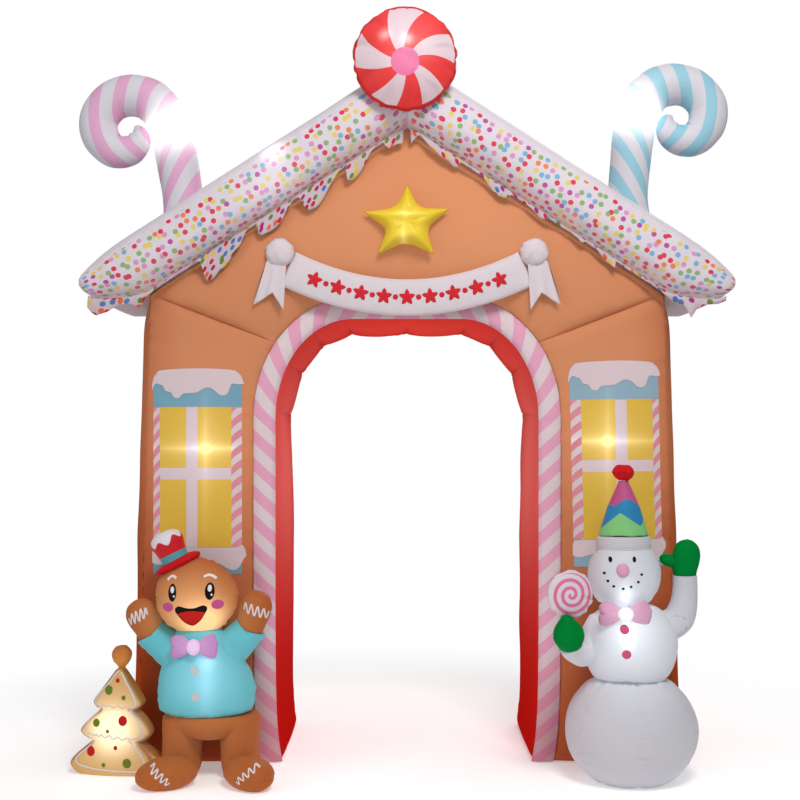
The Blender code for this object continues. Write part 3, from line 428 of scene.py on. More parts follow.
def loft(name, rings, laid=None, kept=None):
    """A closed skin of four-sided faces over rings of equal count.

    laid gives each point its place on the flat cloth, kept gives it numbers by name.
    """
    count, last = len(rings[0]), len(rings) - 1
    faces = []
    for row in range(last):
        for i in range(count):
            j = (i + 1) % count
            faces.append((row * count + i, row * count + j, (row + 1) * count + j, (row + 1) * count + i))
    faces.append(tuple(range(count))[::-1])
    faces.append(tuple(range(last * count, (last + 1) * count)))
    mesh = bpy.data.meshes.new(name)
    mesh.from_pydata([point for ring in rings for point in ring], [], faces)
    if laid:
        sheet = mesh.uv_layers.new(name="cloth")
        flat_rows = [place for row in laid for place in row]
        for index, face in enumerate(mesh.polygons):
            for loop, corner in zip(face.loop_indices, face.vertices):
                u, v = flat_rows[corner]
                if index < count * last and index % count == count - 1 and corner % count == 0:
                    v += laid[0][-1][1] + (laid[0][-1][1] - laid[0][-2][1]) - laid[0][0][1]
                sheet.data[loop].uv = (u, v)
    for word, rows in (kept or {}).items():
        layer = mesh.attributes.new(word, "FLOAT", "POINT")
        layer.data.foreach_set("value", [number for row in rows for number in row])
    point_outwards(mesh)
    return add_piece(name, mesh)


def opened(mesh):
    shape = bmesh.new()
    shape.from_mesh(mesh)
    return shape


def closed(shape, mesh):
    shape.to_mesh(mesh)
    shape.free()
    return mesh


def point_outwards(mesh):
    shape = opened(mesh)
    bmesh.ops.remove_doubles(shape, verts=shape.verts, dist=1e-6)
    bmesh.ops.recalc_face_normals(shape, faces=shape.faces)
    if shape.calc_volume(signed=True) < 0:
        bmesh.ops.reverse_faces(shape, faces=shape.faces)
    closed(shape, mesh).shade_smooth()


def add_piece(name, mesh):
    piece = bpy.data.objects.new(name, mesh)
    scene.collection.objects.link(piece)
    return piece


def belong(piece, material=None, node=None):
    """Makes a piece a part of the arch: its cloth and the solid that it stands for."""
    if material:
        piece.data.materials.append(material)
    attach(piece, "root")
    if node:
        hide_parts(node)
    return piece


def settle(piece, material, node):
    """Finishes a blown-up piece. Where it is pressed, faces that were squeezed to nothing are taken out."""
    shape = opened(piece.data)
    bmesh.ops.dissolve_degenerate(shape, dist=2e-5, edges=shape.edges)
    closed(shape, piece.data)
    belong(piece, material, node)


SHELL_SHARES = seam_steps(36)
SIDE_SHARES = seam_steps(20, 0.015)
BACK_SHARES = seam_steps(20)


def shell_ring(station):
    """One closed section: front, outer side, back, and the flat inner side behind the lining."""
    edge, way, outer, reach, _ = station
    inner = edge + (LINING_EDGE + GAP) * way
    inset = floor_inset(max(edge.y, 0.0))
    squat = 1 - inset / FLOOR_ROUND
    sign = 1.0 if outer.x >= 0 else -1.0
    width = (outer - inner).length

    def drawn_in(flat):
        kept = min(max((flat - inner).length, inset), width - inset)
        return inner + (outer - inner) * (kept / width)

    ring = []
    for distance in (0.0, 0.02, 0.04, 0.058):
        flat = drawn_in(inner + (outer - inner) * (distance / width))
        ring.append(Vector((flat.x, FRONT_Y + inset - border_bulge(distance + LINING_EDGE) * squat, flat.y)))
    for share in SHELL_SHARES:
        flat, rise = front_point(station, share)
        flat = drawn_in(flat)
        ring.append(Vector((flat.x, FRONT_Y + inset - rise * squat, flat.y)))
    bulge = SIDE_BULGE * (1 - math.exp(reach / 0.04)) if reach < 0 else 0.0
    for share in SIDE_SHARES[1:-1]:
        y = FRONT_Y + inset + (DEPTH - 2 * inset) * share
        stand_out = bulge * math.sin(math.pi * share) * squat - inset
        if reach < -0.02:
            near = min(share, 1 - share) * DEPTH
            stand_out -= squat * puckers(Vector((round(share), outer.y)), near, 8.0, 0.006, 0.04)
            stand_out += squat * 0.004 * ripple((3.0, y, outer.y), 4.0) * min(1.0, near / 0.1)
        ring.append(Vector((outer.x + sign * stand_out, y, outer.y)))
    for share in reversed(BACK_SHARES):
        flat = inner + (outer - inner) * share
        rise = crown(station) * hump(share, 0.6)
        rise -= puckers(outer, (1 - share) * width, 12.0, 0.006, 0.045)
        rise -= puckers(edge, share * width, 14.0)
        rise += 0.0035 * ripple((flat.x, flat.y, 9.0), 4.2) * math.sin(math.pi * share)
        flat = drawn_in(flat)
        ring.append(Vector((flat.x, BACK_Y - inset + rise * squat, flat.y)))
    return ring


def keep_under_roof(piece):
    """Presses the shell's top under the plane that the roof lies on."""
    for vertex in piece.data.vertices:
        way = Vector((math.copysign(math.sin(SLOPE), vertex.co.x), 0.0, math.cos(SLOPE)))
        above = way.dot(vertex.co - Vector((0, 0, APEX_Z))) + GAP
        if above > 0:
            vertex.co -= way * above if abs(vertex.co.x) > 1e-6 else Vector((0, 0, above / way.z))


stations = house_stations()
shell = loft("shell", [shell_ring(station) for station in stations])
keep_under_roof(shell)

gingerbread = Cloth("gingerbread_cloth")
# The lamps inside glow through the cloth, and their glow is set strong enough to lift the shade under the roof and
# the scroll too: partly painted light.
lamp_glow_and_painted_fill = gingerbread.lamps(
    ((0.1, FRONT_Y, 2.12), 0.7, 0.15), ((-0.83, FRONT_Y, 1.26), 0.3, 0.16), ((0.83, FRONT_Y, 1.27), 0.3, 0.16),
).lit((1.0, 0.44, 0.22))
# Painted shade: the cloth is painted darker and redder low down and towards the outer sides, where less light reaches
# it.
painted_shade = (1.6 - gingerbread.place.part("Z")).of("MAXIMUM", 0.0) * 0.5
painted_shade = painted_shade + (gingerbread.place.part("X").of("ABSOLUTE") - 0.9).of("MAXIMUM", 0.0) * 2.2
gingerbread_with_painted_shade = painted_shade.mixed((0.57, 0.225, 0.107), (0.41, 0.062, 0.015))
gingerbread_cloth = gingerbread.finish(gingerbread_with_painted_shade, lamp_glow_and_painted_fill, gloss=0.0, sheen=0.0)
settle(shell, gingerbread_cloth, "house_shell")


# ---- The red doorway lining ---------------------------------------------------------------------------
# The soffit of the doorway: one red strip from foot to foot, sewn across where the doorway bends, so it
# stands out in cushions between those seams and gathers beside them.

LINING_PUFF = 0.032
LINING_SEAMS = (0.0, 1.40, 1.60, 1.76, 1.90)
LINING_SHARES = even_steps(0, 1, 30)


def lining_rows():
    """(distance from the floor, how far the cloth stands into the doorway, distance to the nearest seam)."""
    half = SPRING_Z + CORNER_LENGTH + OPENING_HALF - CORNER_RX
    rows = []
    for start, end in zip(LINING_SEAMS, LINING_SEAMS[1:] + (half,)):
        length = end - start
        count = max(12, round(length / 0.012))
        shares = sorted(set(seam_steps(count, 0.03 if length < 0.5 else 0.006)))
        for share in shares[:-1] if end != half else shares:
            rows.append((start + length * share, LINING_PUFF * hump(share, 0.45), min(share, 1 - share) * length))
    return rows


def lining_ring(distance, puff, near, side):
    """A section of the lining from the back edge to the front one, with its sewn-down edge behind it."""
    edge, way = (on_side(side, found) for found in doorway_edge(distance))
    inset = floor_inset(max(edge.y, 0.0))
    front, back = FRONT_Y + GAP + inset, BACK_Y - inset
    behind = edge + way * LINING_EDGE
    ring = [Vector((behind.x, y, behind.y)) for y in (back, front)]
    for share in LINING_SHARES:
        y = front + (back - front) * share
        rise = puff * hump(share, 0.5)
        gather = puckers(Vector((y, 0.0)), near, 20.0 + round(distance), 0.007, 0.05) if distance > 0.1 else 0
        fall_off = min(1.0, min(share, 1 - share) * DEPTH / 0.03)
        rise -= gather * fall_off
        rise -= puckers(edge, min(share, 1 - share) * DEPTH, 31.0, 0.005, 0.03) * min(1.0, puff / 0.02)
        rise += 0.003 * ripple((side * distance, y, 2.0), 5.0) * fall_off * min(1.0, puff / 0.02)
        point = edge - way * (max(rise, -0.006) - min(inset, LINING_EDGE * 0.8))
        ring.append(Vector((point.x, y, point.y)))
    return ring


halves = lining_rows()
rings = [lining_ring(*row, 1) for row in halves] + [lining_ring(*row, -1) for row in reversed(halves[:-1])]
lining = loft("lining", rings)
red = Cloth("red_lining_cloth")
# Painted light: a pale glow lightens the lining at both sides of the doorway and a red glow at its crown, partly the
# lamps inside showing through and partly painted highlight.
at_sides = red.lamp((0.52, 0.1, 1.15), 0.45) + red.lamp((-0.52, 0.1, 1.15), 0.45)
painted_lining_light = at_sides.lit((0.23, 0.095, 0.085))
painted_lining_light = painted_lining_light.vector("ADD", red.lamp((0.0, 0.1, 1.75), 0.5).lit((0.24, 0.03, 0.022)))
# Painted shade: the lining is painted darker towards the floor.
painted_floor_shade = (0.6 - red.place.part("Z")) * 1.8
red_with_painted_shade = painted_floor_shade.mixed((0.6, 0.012, 0.009), (0.52, 0.009, 0.006))
red_cloth = red.finish(red_with_painted_shade, painted_lining_light, roughness=0.6, gloss=0.0, sheen=0.0)
settle(lining, red_cloth, "doorway_lining")


# ---- The striped border -------------------------------------------------------------------------------
# A flat strip printed with pink and off-white slanting stripes, laid over the front edges of the shell
# and of the lining and sewn down on both sides. Its pieces meet in a level seam on each leg.

BORDER_THICK = 0.0014
STITCH_PITCH = 0.009
THREAD = 0.0006
STRIPE_PITCH = 0.112
STRIPE_SLANT = 0.92
PIECE_SEAM_Z = 1.36

border_rings, border_laid = [], []
for station in stations[1:-1]:
    edge, way, outer, reach, run = station
    inner = edge + (LINING_EDGE + GAP) * way
    width = (outer - inner).length
    columns = [(0.0, edge, 0.0)]
    for distance in even_steps(LINING_EDGE + GAP, BORDER_WIDTH, 12):
        rise = border_bulge(distance) - 0.5 * puckers(edge, BORDER_WIDTH - distance, 3.0)
        rise -= 0.4 * puckers(edge, distance, 17.0, 0.004, 0.02)
        rise += 0.0012 * ripple((edge.x, edge.y, distance), 9.0) + 0.001
        columns.append((distance, inner + (outer - inner) * ((distance - LINING_EDGE) / width), max(rise, 0.0)))
    seam = abs(edge.y - PIECE_SEAM_Z)
    front, back, laid_row = [], [], []
    for distance, flat, rise in columns:
        rise = max(rise - 0.003 * math.exp(-seam / 0.007), 0.0) + 0.0016
        front.append(Vector((flat.x, FRONT_Y - rise - BORDER_THICK, flat.y)))
        back.append(Vector((flat.x, FRONT_Y - rise, flat.y)))
        laid_row.append((run, distance))
    border_rings.append(front + back[::-1])
    border_laid.append(laid_row + laid_row[::-1])
border = loft("border", border_rings, laid=border_laid)

striped = Cloth("striped_border_cloth")
mirrored = (striped.laid.part("X") - stations[-1][4] / 2).of("ABSOLUTE")
stripe = ((mirrored + striped.laid.part("Y") * STRIPE_SLANT) / STRIPE_PITCH).of("FRACT") < 0.5
stripes = stripe.mixed((0.72, 0.6, 0.62), (0.76, 0.36, 0.5))
# Painted shade: the stripes are painted darker and redder towards the floor.
painted_border_shade = ((0.5 - striped.place.part("Z")) * 1.4).of("MINIMUM", 0.55)
striped_cloth = striped.finish(painted_border_shade.mixed(stripes, (0.5, 0.11, 0.15)), gloss=0.1)
belong(border, striped_cloth, "doorway_border")
round(stations[-1][4] + 0.2, 2)


def front_of(piece):
    """A lookup of the nearest cloth of a piece."""
    shape = opened(piece.data)
    lookup = BVHTree.FromBMesh(shape)
    shape.free()
    return lookup


def touch(cloth_front, x, z):
    """The place on the front of a piece at x and z, as seen from straight ahead."""
    met = cloth_front.ray_cast(Vector((x, -2.0, z)), Vector((0, 1, 0)))[0]
    return met or cloth_front.find_nearest(Vector((x, -0.5, z)))[0]


def node_group(name, inputs):
    """An empty Geometry Nodes tree with named inputs of (name, kind), and a way to add nodes to it."""
    tree = bpy.data.node_groups.new(name, "GeometryNodeTree")
    for word, kind in inputs:
        tree.interface.new_socket(word, in_out="INPUT", socket_type=f"NodeSocket{kind}")
    tree.interface.new_socket("Made", in_out="OUTPUT", socket_type="NodeSocketGeometry")
    given = tree.nodes.new("NodeGroupInput").outputs

    def add(kind, settings, sockets, output=0):
        node = tree.nodes.new(kind)
        for word, value in settings.items():
            setattr(node, word, value)
        for key, value in sockets.items():
            if isinstance(value, bpy.types.NodeSocket):
                tree.links.new(value, node.inputs[key])
            else:
                node.inputs[key].default_value = value
        return node.outputs[output]

    return tree, given, add


def applied(piece):
    """Applies the modifiers of a piece, and returns its new mesh."""
    graph = bpy.context.evaluated_depsgraph_get()
    made = bpy.data.meshes.new_from_object(piece.evaluated_get(graph))
    piece.modifiers.clear()
    piece.data = made
    return made


def grown(name, mesh, tree, values):
    """Runs a tree on a mesh and keeps the result as a plain mesh that belongs to the arch."""
    piece = add_piece(name, mesh)
    growth = piece.modifiers.new("Growth", "NODES")
    growth.node_group = tree
    for item in tree.interface.items_tree:
        if item.name in values:
            growth[item.identifier] = values[item.name]
    applied(piece)
    belong(piece)


stitches, given, add = node_group("row_of_stitches", (
    ("Seam", "Geometry"), ("Pitch", "Float"), ("Length", "Float"), ("Thread", "Float"), ("Seed", "Int"),
    ("Dye", "Material"),
))
line = add("GeometryNodeMeshToCurve", {}, {"Mesh": given["Seam"]})
line = add("GeometryNodeResampleCurve", {"mode": "LENGTH"}, {"Curve": line, "Length": given["Pitch"]})
one = add("GeometryNodeMeshCylinder", {}, {"Vertices": 6, "Radius": given["Thread"], "Depth": given["Length"]})
along = add("FunctionNodeAlignRotationToVector", {"axis": "Z"}, {"Vector": add("GeometryNodeInputTangent", {}, {})})
uneven = add("FunctionNodeRandomValue", {}, {"Min": 0.8, "Max": 1.15, "Seed": given["Seed"]}, 1)
sewn = add("GeometryNodeInstanceOnPoints", {}, {"Points": line, "Instance": one, "Rotation": along, "Scale": uneven})
sewn = add("GeometryNodeRealizeInstances", {}, {"Geometry": sewn})
sewn = add("GeometryNodeSetMaterial", {}, {"Geometry": sewn, "Material": given["Dye"]})
stitches.links.new(sewn, stitches.nodes.new("NodeGroupOutput").inputs[0])

thread = Cloth("thread")
thread_dye = thread.finish((0.6, 0.5, 0.52), roughness=0.6)


def stitched(name, cloth_front, path):
    """Sews a row of stitches on the front of a piece, along a path of (x, z) points."""
    points = [touch(cloth_front, x, z) - Vector((0, THREAD / 2, 0)) for x, z in path]
    mesh = bpy.data.meshes.new(name)
    mesh.from_pydata(points, [(k, k + 1) for k in range(len(points) - 1)], [])
    grown(name, mesh, stitches, {
        "Pitch": STITCH_PITCH, "Length": STITCH_PITCH * 0.62, "Thread": THREAD, "Seed": 4, "Dye": thread_dye,
    })


border_front = front_of(border)
for word, away in (("inner", LINING_EDGE * 0.5), ("outer", BORDER_WIDTH - 0.008)):
    right = []
    for station in stations[: len(stations) // 2]:
        edge, way, outer = station[:3]
        if edge.y > 0.05:
            reach = (outer - edge).normalized() if away > LINING_EDGE else way
            right.append(edge + reach * away)
    path = [tuple(point) for point in right] + [(-point.x, point.y) for point in reversed(right)]
    stitched(f"border_{word}_stitches", border_front, path)


# ---- The printed windows ------------------------------------------------------------------------------
# One window is printed on each leg's front panel: yellow panes behind a white cross, candy-striped posts,
# a blue board above and below, and snow on both. Each colour of the print is its own thin layer of ink.
# A lamp hangs behind each window, so the cloth there shows a bright point with a cross of light.

INK = 0.0006


def ink_piece(name, shape, material):
    """Keeps a shape of ink as a piece of the arch."""
    bmesh.ops.recalc_face_normals(shape, faces=shape.faces)
    return belong(add_piece(name, closed(shape, bpy.data.meshes.new(name))), material)


def printed(name, cloth_front, place_at, across, up, lift, material):
    """A layer of ink that lies on the front of a piece; place_at gives (x, z) for shares of its two sides."""
    shape = bmesh.new()
    places = [
        [touch(cloth_front, *place_at(i / across, j / up)) - Vector((0, lift, 0)) for i in range(across + 1)]
        for j in range(up + 1)
    ]
    under, over = (
        [[shape.verts.new(place - Vector((0, thick, 0))) for place in row] for row in places] for thick in (0, INK)
    )
    for j in range(up):
        for i in range(across):
            for grid in (under, over):
                shape.faces.new((grid[j][i], grid[j][i + 1], grid[j + 1][i + 1], grid[j + 1][i]))
    rim = [(0, i) for i in range(across)] + [(j, across) for j in range(up)]
    rim += [(up, i) for i in range(across, 0, -1)] + [(j, 0) for j in range(up, 0, -1)]
    for (j, i), (l, k) in zip(rim, rim[1:] + rim[:1]):
        shape.faces.new((under[j][i], under[l][k], over[l][k], over[j][i]))
    bmesh.ops.remove_doubles(shape, verts=shape.verts, dist=1e-6)
    ink_piece(name, shape, material)


def block(x0, x1, z0, z1):
    """The shares-to-place rule of an upright rectangle."""
    return lambda u, v: (x0 + (x1 - x0) * u, z0 + (z1 - z0) * v)


def hung_at(rule, rise, lean, tilt, middle):
    """A shares-to-place rule for a print that sits higher and leans, as the cloth pulls it."""

    def placed(u, v):
        x, z = rule(u, v)
        return x + lean * (z - middle[1]), z + rise + tilt * (x - middle[0])

    return placed


def read_at(rows, place):
    """A table's other numbers for a value of its first column, by straight lines between its rows."""
    for start, end in zip(rows, rows[1:]):
        if place <= end[0]:
            break
    share = min((place - start[0]) / max(end[0] - start[0], 1e-9), 1.0)
    return [a + (b - a) * share for a, b in zip(start[1:], end[1:])]


def between(low, high, x0, x1):
    """The shares-to-place rule of a shape between two edges, each a row of (share, height)."""
    low_rows, high_rows = smooth_rows(low, 8), smooth_rows(high, 8)

    def placed(u, v):
        foot, head = read_at(low_rows, u)[0], read_at(high_rows, u)[0]
        return x0 + (x1 - x0) * u, foot + (head - foot) * v

    return placed


def post_stripe(start, end, foot):
    """The shares-to-place rule of a slanting stripe on a window's post, cut off at the post's ends."""

    def placed(u, v):
        z = foot + POST_PITCH * 0.5 * v + 0.036 * u ** 0.7
        return start + (end - start) * u, min(max(z, SILL_Z), HEAD_Z)

    return placed


def ink(name, colour, lamp_at=None, lamp_tint=(1.0, 0.84, 0.46), roughness=0.5):
    """Printed polyester, with the cross of light of the lamp behind it where one is given."""
    cloth = Cloth(name)
    glow = None
    if lamp_at:
        side_on = (cloth.place.part("X") - lamp_at[0]).of("ABSOLUTE")
        upright = (cloth.place.part("Z") - lamp_at[2]).of("ABSOLUTE")
        level_beam = (side_on * -9.0 - upright * 60.0).of("EXPONENT")
        upright_beam = (side_on * -48.0 - upright * 8.0).of("EXPONENT")
        point = cloth.lamps((lamp_at, 0.014, 1.5), (lamp_at, 0.14, 0.1), (lamp_at, 0.5, 0.07))
        glow = (point + level_beam * 0.85 + upright_beam * 0.4).lit(lamp_tint)
    return cloth.finish(colour, glow, roughness=roughness, gloss=0.08)


def thousandths(*rows):
    """A table that is written in millimetres, or in thousandths of a side."""
    return [tuple(number / 1000 for number in row) for row in rows]


# The last column is the blue of the boards: one printed blue, painted darker on the left window and lighter on the
# right as the light falls on them, which is painted light and shade.
WINDOWS = (
    ("left", -0.834, -0.019, (0.028, 0.041), (0.0, 0.0, 0.0), (-0.8, 1.255), (0.15, 0.33, 0.43)),
    ("right", 0.832, 0.021, (0.041, 0.028), (0.031, -0.024, 0.012), (0.796, 1.284), (0.24, 0.37, 0.46)),
)
WINDOW_WIDTH = 0.353
BAR_WIDTH = 0.046
HEAD_Z = 1.419
SILL_Z = 0.863
BOARD_TOP_Z = 1.512
BOARD_FOOT_Z = 0.755
POST_STRIPES = 9
POST_PITCH = (HEAD_Z - SILL_Z) / POST_STRIPES
SHORTEST_STRIPE = 0.004
INK_LIFTS = (0.0006, 0.0014, 0.0022)
SNOW_TOP = thousandths(
    (0, 1508), (15, 1533), (50, 1552), (120, 1566), (500, 1572), (860, 1567), (950, 1552), (985, 1534),
    (1000, 1518),
)
SNOW_DRIPS = thousandths(
    (0, 1482), (20, 1504), (50, 1513), (100, 1507), (130, 1502), (145, 1485), (200, 1479), (225, 1475), (245, 1458),
    (300, 1454.5), (330, 1465), (360, 1472), (460, 1475), (510, 1478), (560, 1490), (610, 1496), (660, 1492.5),
    (710, 1478), (740, 1468), (790, 1464.5), (830, 1473), (850, 1492), (875, 1511), (940, 1509), (1000, 1511),
)
SILL_SNOW_FOOT = thousandths(
    (0, 800), (60, 792), (160, 800), (300, 812), (450, 790), (580, 792), (700, 800), (840, 772), (920, 778),
    (970, 810), (1000, 826),
)
SILL_SNOW_TOP = thousandths(
    (0, 840), (50, 860), (500, 862), (900, 862), (960, 872), (1000, 846),
)

shell_front = front_of(shell)
for side, centre, bar_shift, post_widths, hanging, lamp, board_blue_with_painted_light in WINDOWS:
    glint = (lamp[0], FRONT_Y - 0.045, lamp[1])
    left, right = centre - WINDOW_WIDTH / 2, centre + WINDOW_WIDTH / 2
    pane_left, pane_right = left + post_widths[0], right - post_widths[1]
    bar, mid = centre + bar_shift, (HEAD_Z + SILL_Z) / 2 + 0.014
    yellow = ink(f"window_{side}_yellow", (0.66, 0.4, 0.03), glint)
    white = ink(f"window_{side}_white", (0.66, 0.52, 0.54), glint, (0.62, 0.62, 0.7))
    blue = ink(f"window_{side}_blue", board_blue_with_painted_light, glint, (0.5, 0.5, 0.5))
    rose = ink(f"window_{side}_rose", (0.72, 0.27, 0.3))
    snow = ink(f"window_{side}_snow", (0.68, 0.55, 0.57))
    prints = [
        ("board", block(left, right, HEAD_Z - 0.002, BOARD_TOP_Z + 0.015), 44, 12, 0, blue),
        ("sill", block(left, right, BOARD_FOOT_Z, SILL_Z), 44, 12, 0, blue),
        ("frame", block(left, right, SILL_Z, HEAD_Z), 44, 66, 0, white),
    ]
    for row, foot, head in (("low", SILL_Z, mid - 0.024), ("high", mid + 0.024, HEAD_Z)):
        for word, start, end in (
            ("left", pane_left, bar - BAR_WIDTH / 2), ("right", bar + BAR_WIDTH / 2, pane_right),
        ):
            prints.append((f"pane_{row}_{word}", block(start, end, foot, head), 16, 30, 1, yellow))
    for word, start, end in (("left", left, pane_left), ("right", pane_right, right)):
        for k in range(POST_STRIPES + 1):
            rule = post_stripe(start, end, SILL_Z + POST_PITCH * (k - 0.45))
            if min(rule(1, 1)[1] - SILL_Z, HEAD_Z - rule(0, 0)[1]) >= SHORTEST_STRIPE:
                prints.append((f"stripe_{word}_{k}", rule, 8, 5, 1, rose))
    prints += [
        ("snow_cap", between(SNOW_DRIPS, SNOW_TOP, left - 0.006, right + 0.008), 60, 14, 2, snow),
        ("snow_sill", between(SILL_SNOW_FOOT, SILL_SNOW_TOP, left - 0.004, right + 0.016), 60, 10, 2, snow),
    ]
    for word, rule, across, up, layer, dye in prints:
        printed(f"window_{side}_{word}", shell_front, hung_at(rule, *hanging, (centre, mid)), across, up,
                INK_LIFTS[layer], dye)


# ---- The padded roof ----------------------------------------------------------------------------------
# Two fat off-white chambers that lie on the gable's slopes and stand out in front of it. The front panel
# is printed with confetti dots; a seam above it joins it to the plain panel over the top.

ROOF_NOSE = 0.13
ROOF_TAIL = 0.07
ROOF_SEAM = 0.186
ROOF_STATIONS = thousandths(
    (0, 0, 250), (250, 0, 248), (500, 0, 248), (750, 0, 248), (1000, 0, 248), (1130, 0, 249), (1235, 0, 247),
    (1300, 20, 240), (1360, 52, 228), (1400, 78, 216), (1420, 104, 204), (1430, 130, 184),
)
ROOF_POINTS = 132
DOT_PITCH = 0.033
DOT_SHARE = 0.32
BRIGHT_DOTS = (
    (0.66, 0.03, 0.07), (0.17, 0.4, 0.58), (0.7, 0.55, 0.13), (0.25, 0.4, 0.14), (0.62, 0.27, 0.5),
    (0.76, 0.2, 0.07), (0.46, 0.06, 0.3), (0.17, 0.4, 0.58), (0.66, 0.03, 0.07), (0.25, 0.4, 0.14),
    (0.7, 0.55, 0.13), (0.62, 0.27, 0.5), (0.66, 0.03, 0.07),
)
ICING = (0.67, 0.6, 0.65)


def roof_point(side, down, above, y):
    """A point by its distance down the slope from the apex and its height above the slope's plane."""
    x = down * math.cos(SLOPE) + above * math.sin(SLOPE)
    return Vector((side * x, y, APEX_Z - down * math.sin(SLOPE) + above * math.cos(SLOPE)))


def fuller(value, power):
    """A sine or cosine drawn towards its ends, which squares off a round section."""
    return math.copysign(abs(value) ** power, value)


def roof_ring(side, down, low, high):
    """A roof section: flat where it lies on the house, with full round noses in front and behind."""
    front, back = FRONT_Y - ROOF_NOSE, BACK_Y + ROOF_TAIL
    size = (high - low) / ROOF_STATIONS[0][2]
    middle, half = (front + back) / 2, (back - front) / 2 * (0.8 + 0.2 * size ** 0.5)
    ring = []
    for angle in circle(ROOF_POINTS):
        across = fuller(math.cos(angle + math.pi / ROOF_POINTS), 0.36) * half
        up = fuller(math.sin(angle + math.pi / ROOF_POINTS), 0.7) * 0.5
        above = low + (0.5 + up) * (high - low)
        swell = 0.004 * ripple((side * down, across, up), 3.5)
        if across < -0.7 * half and down > 0.02:
            seam = abs(above - ROOF_SEAM * (high / 0.248))
            gather = puckers(Vector((down, side)), seam, 41.0, 0.004, 0.028)
            hem = puckers(Vector((down, 2.0 * side)), abs(above - low), 44.0, 0.005, 0.03)
            across += gather + hem - swell
        elif up > 0.3:
            above += swell
        start = down - above * math.tan(SLOPE) * max(0.0, 1 - down / 0.12)
        ring.append(roof_point(side, start, above, middle + across))
    return ring


def pieced_rows(rows, step):
    """Table rows filled in by straight lines, no further apart than the step in their first number."""
    found = []
    for start, end in zip(rows, rows[1:]):
        count = max(1, math.ceil(abs(end[0] - start[0]) / step))
        for k in range(count):
            found.append(tuple(a + (b - a) * k / count for a, b in zip(start, end)))
    return found + [rows[-1]]


def confetti(cloth, colours, ground, pitch=DOT_PITCH):
    """Round dots of several colours, strewn evenly over the cloth, on a plain ground."""
    cell = {"voronoi_dimensions": "2D", "feature": "F1"}
    sockets = {"Vector": cloth.laid, "Scale": 1 / pitch, "Randomness": 0.72}
    away = cloth.laid.node("ShaderNodeTexVoronoi", cell, sockets, 0)
    chance = cloth.laid.node("ShaderNodeTexVoronoi", cell, sockets, 1).part("X")
    stops = [(k / len(colours), colour) for k, colour in enumerate(colours)]
    chosen = chance.node("ShaderNodeValToRGB", {"stops": stops, "steps": "CONSTANT"}, {0: chance}, 0)
    return (away < DOT_SHARE).mixed(ground, chosen)


roofs = {}
for side, word in ((-1, "left"), (1, "right")):
    rows = pieced_rows(ROOF_STATIONS, 0.0105)
    rings = [roof_ring(side, *row) for row in rows]
    rings[0] = [Vector((side * GAP / 2, point.y, point.z)) for point in rings[0]]
    lengths = arc_lengths(rings[30])
    roofs[word] = loft(
        f"roof_{word}_padded", rings, laid=[[(side * row[0] + 2.0, v) for v in lengths] for row in rows]
    )
    icing = Cloth(f"icing_roof_{word}_cloth")
    x, y, z = (icing.place.part(axis) for axis in "XYZ")
    above = x * (side * math.sin(SLOPE)) + (z - APEX_Z) * math.cos(SLOPE)
    in_front = (y < FRONT_Y + 0.02) * (above < ROOF_SEAM) * (above > 0.006)
    dotted = in_front.mixed(ICING, confetti(icing, BRIGHT_DOTS, ICING))
    # Painted light: a glow that is strongest at the roof's lower front edge and fades upwards lifts the shade there,
    # and the left roof has a painted glint with a soft halo round it.
    inside = (above * -14.0).of("EXPONENT") * (y < FRONT_Y + 0.02) * 0.1
    if side < 0:
        inside = inside + icing.lamp((-0.53, FRONT_Y - 0.12, 2.42), 0.045) * 0.8
        inside = inside + icing.lamp((-0.53, FRONT_Y - 0.12, 2.3), 0.12) * 0.12
    settle(roofs[word], icing.finish(dotted, inside.lit((0.95, 0.88, 0.95))), f"roof_{word}")


# ---- The dripping icing -------------------------------------------------------------------------------
# A single cloth panel hangs from under each roof half's front edge. Its lower edge is cut in drips and hemmed,
# and it carries the same dots. Its dots and its ground are painted darker than the roof's: painted shade under
# the roof, where no lamp shines through.

CLOTH = 0.0018
DRAPE_Y = FRONT_Y - 0.058
DRAPE_LENGTH = 1.41
DRAPE_TUCK = 0.0035
EAVE_LIP_START = 1.2
EAVE_LIP_BLEND = 0.1
EAVE_LIP_REACH = 0.035
DRIPS = {
    "left": thousandths(
        (12, 65), (41, 52), (60, 53), (79, 47), (98, 27), (111, 6), (147, 6), (161, 9), (176, 20), (192, 47),
        (208, 66), (230, 80), (249, 82), (271, 71), (279, 47), (282, 21), (300, 6), (319, 7), (340, 27), (360, 51),
        (385, 82), (402, 96), (420, 100), (449, 93), (474, 65), (489, 37), (501, 16), (521, 6), (537, 6), (547, 22),
        (564, 32), (574, 55), (588, 69), (616, 76), (644, 76), (673, 71), (691, 55), (701, 25), (711, 6), (749, 6),
        (763, 24), (778, 55), (805, 65), (816, 86), (838, 102), (870, 106), (892, 124), (926, 112), (940, 90),
        (954, 51), (971, 12), (990, 6), (1160, 7), (1220, 18), (1250, 50), (1280, 28), (1325, 26), (1360, 50),
        (1395, 63), (1410, 55), (1420, 42),
    ),
    "right": thousandths(
        (12, 66), (22, 48), (45, 18), (56, 9), (65, 9), (83, 15), (105, 27), (123, 31), (155, 39), (193, 35),
        (210, 47), (228, 41), (241, 25), (251, 9), (342, 9), (360, 16), (381, 34), (399, 42), (421, 50), (446, 45),
        (471, 31), (484, 14), (494, 9), (563, 9), (594, 18), (621, 29), (655, 19), (674, 9), (766, 9), (797, 13),
        (812, 22), (829, 17), (844, 9), (890, 9), (904, 21), (931, 32), (969, 41), (977, 11), (984, 9), (1180, 10),
        (1235, 24), (1280, 34), (1300, 78), (1325, 40), (1360, 21), (1400, 18), (1420, 16),
    ),
}
